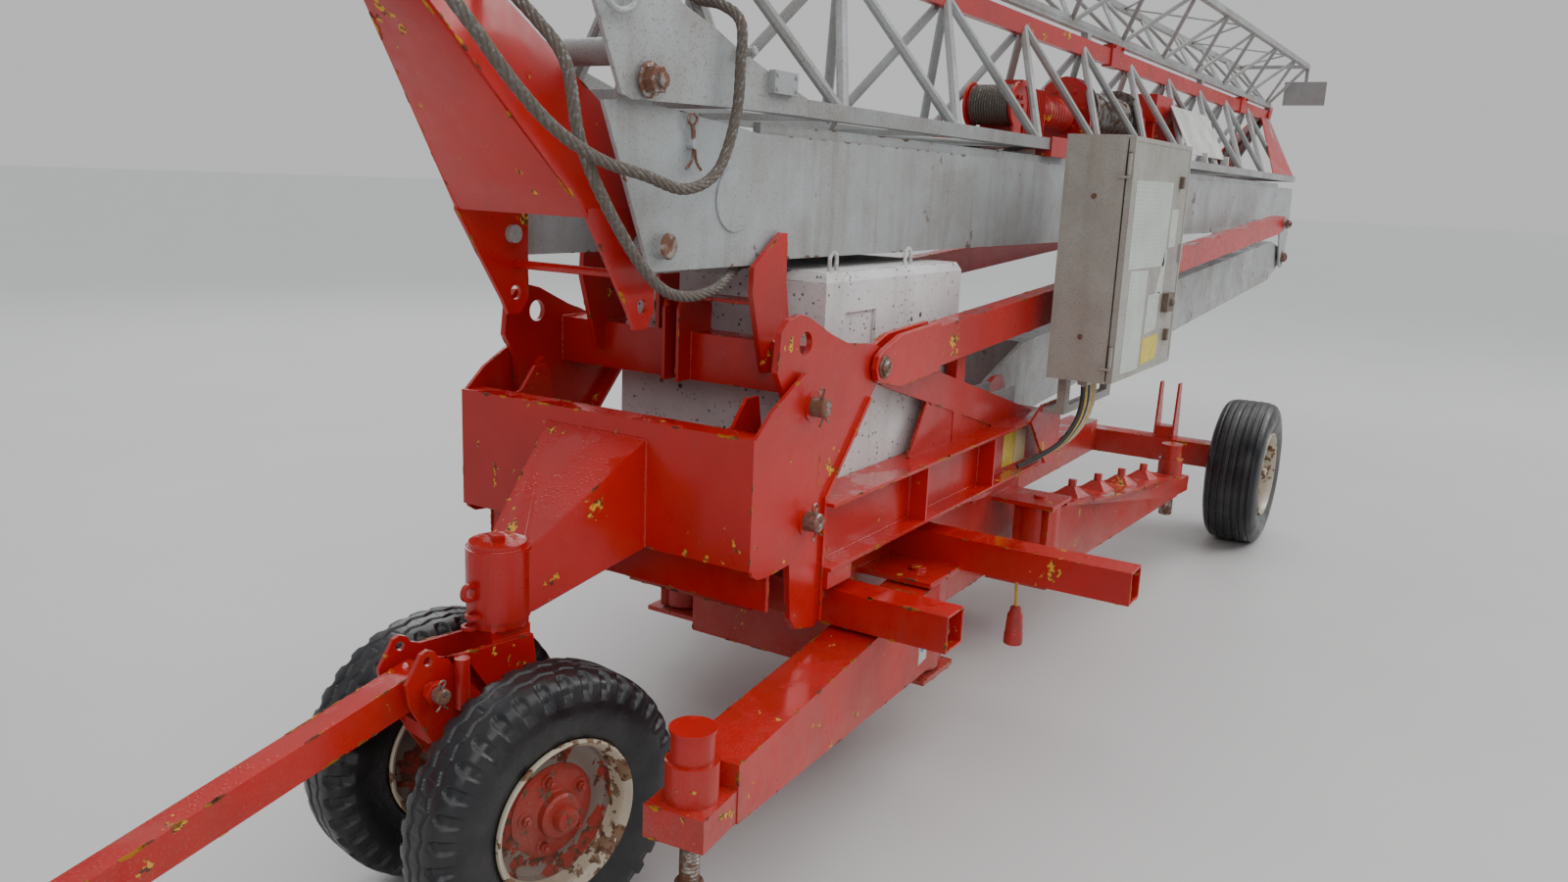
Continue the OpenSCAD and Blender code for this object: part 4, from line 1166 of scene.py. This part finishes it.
for soup, name, material, slot, body in (
        (papers, "door_sheets", RULED_SHEET, "placard_white", "door"),
        (whites, "door_labels", LABEL_WHITE, "placard_white", "door"),
        (yellows, "door_yellow_square", LABEL_YELLOW, "placard_white", "door"),
        (latches, "door_latches", LATCH_BROWN, "cabinet_steel", "door"),
        (screws, "cabinet_screws", PIN_STEEL, "cabinet_steel", "base")):
    mount(soup.piece(name, material, 35), body)
lip = Soup()
for x0, x1, z0, z1 in ((2484, 2502, 1264, 2226), (3370, 3388, 1264, 2226),
                       (2502, 3370, 1264, 1282), (2502, 3370, 2208, 2226)):
    lip.box(mm(x0, -880.5, z0), mm(x1, -877.5, z1))
mount(lip.piece("door_lip", CABINET_GREY, 30), "door")

# %% [markdown]
# ## Labels on the frame
# The beam has a yellow and a cream plate side by side, and the leg a white one with a blue round.
# They are bare coloured sheets here, a little dirty.

# %% Frame labels
LABEL_BLUE = make_plain("label_blue", rgb(0.05, 0.15, 0.42), rgb(0.09, 0.18, 0.38), 0.4)
LABEL_CREAM = make_plain("label_cream", rgb(0.70, 0.62, 0.36), rgb(0.58, 0.50, 0.28), 0.4, 14.0)


def leg_mm(x, y, z):
    """A point on the near front leg, in its own frame with the swivel pin at zero."""
    a = math.radians(186.5)
    return mm(1560 + x * math.cos(a) - y * math.sin(a), -515 + x * math.sin(a) + y * math.cos(a), z)


def label(name, corners, outward, material, body, thick=0.0012):
    front = [c + outward * thick for c in corners]
    back = [c - outward * 0.0004 for c in corners]
    soup = Soup()
    soup.add(front + back, plate_faces(len(corners)))
    piece = mount(soup.piece(name, material, 30), body)


OUT = Vector((0, -1, 0))
BEAM_WEB = -486
for name, material, corners in (
        ("yellow", LABEL_YELLOW, [(2388, 872), (2510, 868), (2512, 1012), (2390, 1016)]),
        ("cream", LABEL_CREAM, [(2518, 868), (2650, 864), (2652, 1008), (2520, 1012)])):
    label("beam_label_" + name, [mm(x, BEAM_WEB, z) for x, z in corners], OUT, material, "base")
leg_out = (leg_mm(0, 1, 0) - leg_mm(0, 0, 0)).normalized()
sheet = [leg_mm(x, 85, z) for x, z in ((196, 372), (112, 372), (112, 512), (196, 512))]
label("leg_label_white", sheet, leg_out, LABEL_WHITE, "leg_front_near")
disc = [leg_mm(154 + 34 * math.cos(k * math.pi / 12), 85.9, 446 + 34 * math.sin(k * math.pi / 12))
        for k in range(24)]
label("leg_label_blue", disc[::-1], leg_out, LABEL_BLUE, "leg_front_near", 0.0009)
print("labels ready")

# %% [markdown]
# ## Socket that hangs under the tube
# A short yellow cable with a red socket hangs below the square cross tube. The socket's body
# tapers and has a row of grip ribs, as such couplings have.

# %% Hanging socket
SOCKET_RED = make_plain("socket_red", rgb(0.44, 0.025, 0.02), rgb(0.30, 0.03, 0.025), 0.45, 20.0)
drop = flowing([mm(1750, -820, 640), mm(1750, -820, 620), mm(1748, -822, 590), mm(1743, -826, 560),
                mm(1740, -828, 530)], 6)
lead = new_piece("socket_lead", *tube_shape(drop, 0.006, 10), CABLE_YELLOW, 60)
profile = [(0, 0.011), (0.004, 0.019), (0.020, 0.021), (0.026, 0.025)]
for k in range(8):
    profile += [(0.030 + k * 0.009, 0.0265 + k * 0.0006), (0.034 + k * 0.009, 0.0285 + k * 0.0006)]
profile += [(0.106, 0.034), (0.138, 0.035), (0.143, 0.033), (0.144, 0.026), (0.138, 0.024)]
grip = turned(profile, drop[-1] + Vector((0, 0, 0.004)), (0, 0, -1), 32)
socket = new_piece("hanging_socket", *grip, SOCKET_RED, 40)
for piece in (lead, socket):
    mount(piece, "base")
print("socket lead:", round(path_length(drop), 3), "m")

# %% [markdown]
# ## Winch and jib fittings
# The winch drum is full of thin rope, and its motor has cooling fins. Behind it a longer hoist with
# its own drum lies on two rails between the chords. Small fittings sit along the jib: a switch box,
# a bent loop and a short bar near the root, and red clamps and end plates on the chords. The
# diagonals that lie flat between the chords are thinner than those of the sides.

# %% Winch and fittings
turns = Soup()
for k in range(15):
    y = -96 + 192 * (k + 0.5) / 15
    ring = [mm(3200 + 86 * math.cos(a * math.pi / 20), y + (a - 20) * 0.16,
               2390 + 86 * math.sin(a * math.pi / 20)) for a in range(41)]
    turns.tube(ring, 0.0062, 8)
mount(turns.piece("winch_rope", ROPE_STEEL, 60), "jib")
motor = Soup()
for k in range(13):
    motor.box(mm(3304 + 22 * k, -112, 2236), mm(3309 + 22 * k, 112, 2482))
motor.box(mm(3380, -60, 2470), mm(3500, 60, 2520))
motor.turn([(0, 0.088), (0.05, 0.088), (0.058, 0.08)], mm(3600, 0, 2345), (1, 0, 0), 36)
for x in (3090, 3670):
    for y in (-225, 225):
        hex_nut(motor, mm(x, y, 2227), (0, 0, 1), 0.030, 0.014, True, 0.012)
for s in (-1, 1):
    for k in range(6):
        a = k * math.pi / 3
        spot = mm(3200 + 40 * math.cos(a), s * 120, 2390 + 40 * math.sin(a))
        hex_nut(motor, spot, (0, s, 0), 0.019, 0.009)
mount(motor.piece("winch_fins", RED, 30), "jib")

fittings = Soup()
fittings.box(mm(722, -356, 2240), mm(846, -334, 2302))
for x in (734, 834):
    for z in (2252, 2290):
        hex_nut(fittings, mm(x, -356, z), (0, -1, 0), 0.011, 0.004)
bent_loop = [mm(0, -334, 2440), mm(-6, -352, 2425), mm(-4, -358, 2390), mm(40, -358, 2366),
             mm(90, -358, 2380), mm(104, -352, 2415), mm(100, -334, 2432)]
fittings.tube(flowing(bent_loop, 8), 0.009, 10)
fittings.turn([(0, 0.012), (0.048, 0.012), (0.052, 0.009)], mm(577, -334, 2330), (0, -1, 0.1), 20)
mount(fittings.piece("jib_fittings", MAST_GREY, 35), "jib")

flat_bars = Soup()
for i in range(9):
    s = 1 if i % 2 else -1
    x = 1230 + 900 * i
    flat_bars.tube([mm(x + 15, s * 262, 2202), mm(x + 885, -s * 262, 2202)], 0.010, 10)
mount(flat_bars.piece("jib_flat_diagonals", LATTICE_GREY, 40), "jib")
tip_bars = Soup()
for i in range(9):
    s = 1 if i % 2 else -1
    x = 1345 + 940 * i
    tip_bars.tube([mm(x, s * 280, 3220), mm(x + 940, -s * 280, 3220)], 0.008, 10)
mount(tip_bars.piece("tip_flat_diagonals", LATTICE_GREY, 40), "jib_tip")


def plate(soup, corners, thick):
    """A flat plate from its corners in millimetres, thickened away from the middle of the jib."""
    corners = [mm(*c) for c in corners]
    lift = (corners[1] - corners[0]).cross(corners[2] - corners[0]).normalized() * thick
    soup.add([c + lift for c in corners] + corners, plate_faces(len(corners)))


hoist, drum = Soup(), Soup()
for s in (-1, 1):
    hoist.box(mm(3760, s * 150 - 20, 2216), mm(6600, s * 150 + 20, 2252))
ribbed = [(0.0, 0.062), (0.01, 0.078)]
for k in range(9):
    ribbed += [(rise + 0.042 * k, radius) for rise, radius in ((0.02, 0.078), (0.024, 0.088),
                                                               (0.036, 0.088), (0.040, 0.078))]
hoist.turn(ribbed + [(0.42, 0.070)], mm(3720, 0, 2400), (1, 0, 0), 28)
for x in (4170, 5150):
    rim_points = [(150 * math.cos(a), 150 * math.sin(a)) for a in (k * math.pi / 8 for k in range(9))]
    outline = [(x, y, 2460 + z) for y, z in rim_points] + [(x, -150, 2252), (x, 150, 2252)]
    plate(hoist, outline, 0.022)
    for k in range(6):
        a = k * math.pi / 3
        hex_nut(hoist, mm(x, 105 * math.cos(a), 2440 + 105 * math.sin(a)), (-1, 0, 0), 0.022, 0.011)
hoist.turn([(0, 0.11), (0.10, 0.11), (0.16, 0.085), (0.30, 0.085), (0.31, 0.07)],
           mm(5172, 0, 2440), (1, 0, 0), 32)
hoist.box(mm(5650, -95, 2470), mm(6040, 95, 2640))
hoist.box(mm(5690, -75, 2252), mm(5740, 75, 2472))
hoist.box(mm(6300, -75, 2252), mm(6350, 75, 2500))
hoist.turn([(0, 0.05), (0.02, 0.078), (0.36, 0.078), (0.40, 0.06), (0.44, 0.03)],
           mm(6030, 0, 2560), (1, 0, 0), 28)
drum.turn([(0, 0.17), (0.012, 0.17), (0.012, 0.11), (0.85, 0.11), (0.85, 0.17), (0.862, 0.17)],
          mm(4230, 0, 2440), (1, 0, 0), 40)
for k in range(40):
    ring = [mm(4256 + 20.4 * k + a * 0.5, 116 * math.cos(a * math.pi / 16),
               2440 + 116 * math.sin(a * math.pi / 16)) for a in range(33)]
    drum.tube(ring, 0.0085, 6)
hoist = hoist.piece("jib_hoist", RED, 30)
drum = drum.piece("jib_hoist_drum", SHEAVE_IRON, 35)
mount(hoist, "jib")
mount(drum, "jib")
clamps = Soup()
for x in (4950, 8640):
    clamps.box(mm(x - 110, -30, 2728), mm(x + 110, 30, 2850))
    for dx in (-80, 80):
        hex_nut(clamps, mm(x + dx, -30, 2842), (0, -1, 0), 0.020, 0.010)
for s in (-1, 1):
    clamps.box(mm(3100, s * 292 - 38, 2160), mm(3376, s * 292 + 38, 2248))
    corners = [(8780, s * 300, 2240), (9790, s * 300, 2240), (9790, s * 24, 2745), (9460, s * 24, 2745)]
    plate(clamps, corners if s < 0 else corners[::-1], 0.008)
mount(clamps.piece("jib_red_clamps", RED, 30), "jib")
print("winch and jib fittings ready")

# %% [markdown]
# ## Bolts of the slewing ring
# The ring is held by a circle of bolts on its flange. The solids have plain hexagons there. The
# heads that the eye meets near the front get a washer and a chamfer on top of them.

# %% Ring bolts
RING_X = 2250
RING_BOLTS = 24
ring_bolts = Soup()
for i in range(RING_BOLTS):
    a = math.radians(i * 15)
    upper = mm(RING_X + 440 * math.cos(a), 440 * math.sin(a), 827)
    hex_nut(ring_bolts, upper, (0, 0, 1), 0.020, 0.010, False, 0.006)
    a += math.radians(7.5)
    lower = mm(RING_X + 452 * math.cos(a), 452 * math.sin(a), 775)
    hex_nut(ring_bolts, lower, (0, 0, -1), 0.030, 0.016, True)
mount(ring_bolts.piece("ring_bolt_ends", RED, 35), "base")
print("ring bolts:", 2 * RING_BOLTS)

# %% [markdown]
# ## Floor and light
# A pale floor and soft light as under an overcast sky after the rain: three large lamps and a
# broad, weak sun high above. The camera sees a sky as bright as the far floor, so the horizon
# hardly shows, while the sky that lights the crane is darker.

# %% Studio
def make_floor():
    size = 150.0
    floor = new_piece("floor", [(-size, -size, 0), (size, -size, 0), (size, size, 0), (-size, size, 0)],
                      [(0, 1, 2, 3)], None)
    material, w, shader, place = plain_material("pale_floor")
    tone = w.mix(w.noise(place, 0.8, 4.0), rgb(0.52, 0.52, 0.51), rgb(0.58, 0.58, 0.57))
    w.link(tone, shader.inputs["Base Color"])
    shader.inputs["Roughness"].default_value = 0.4
    floor.data.materials.append(material)


def make_lamp(name, place, aim, size, power):
    data = bpy.data.lights.new(name, "AREA")
    data.shape = "SQUARE"
    data.size = size
    data.energy = power
    lamp = bpy.data.objects.new(name, data)
    bpy.context.scene.collection.objects.link(lamp)
    lamp.location = place
    lamp.rotation_mode = "QUATERNION"
    lamp.rotation_quaternion = (Vector(aim) - Vector(place)).to_track_quat("-Z", "Y")


# Colours of the sky that lights the crane and of the one that the camera sees, and its strength
SKY = rgb(0.84, 0.87, 0.90)
FAR_FLOOR = rgb(1.27, 1.27, 1.28)
SKY_STRENGTH = 0.5


def make_light():
    world = bpy.data.worlds.new("soft_sky")
    bpy.context.scene.world = world
    world.use_nodes = True
    back = world.node_tree.nodes["Background"]
    w = Wires(world.node_tree)
    seen = w.node("ShaderNodeLightPath").outputs["Is Camera Ray"]
    w.link(w.mix(seen, SKY, FAR_FLOOR), back.inputs["Color"])
    back.inputs["Strength"].default_value = SKY_STRENGTH
    sun = bpy.data.lights.new("high_cloud", "SUN")
    sun.energy = 2.2
    sun.angle = 1.4
    high = bpy.data.objects.new("high_cloud", sun)
    bpy.context.scene.collection.objects.link(high)
    high.rotation_mode = "QUATERNION"
    high.rotation_quaternion = Vector((-0.35, 0.25, -1.0)).to_track_quat("-Z", "Y")
    make_lamp("sky_right", (8.0, -9.0, 8.0), (0, 0, 1), 6.0, 500)
    make_lamp("sky_front", (-10.0, -6.0, 6.0), (-3, 0, 1), 5.0, 260)
    make_lamp("sky_back", (4.0, 10.0, 9.0), (0, 0, 1.5), 8.0, 500)


make_floor()
make_light()
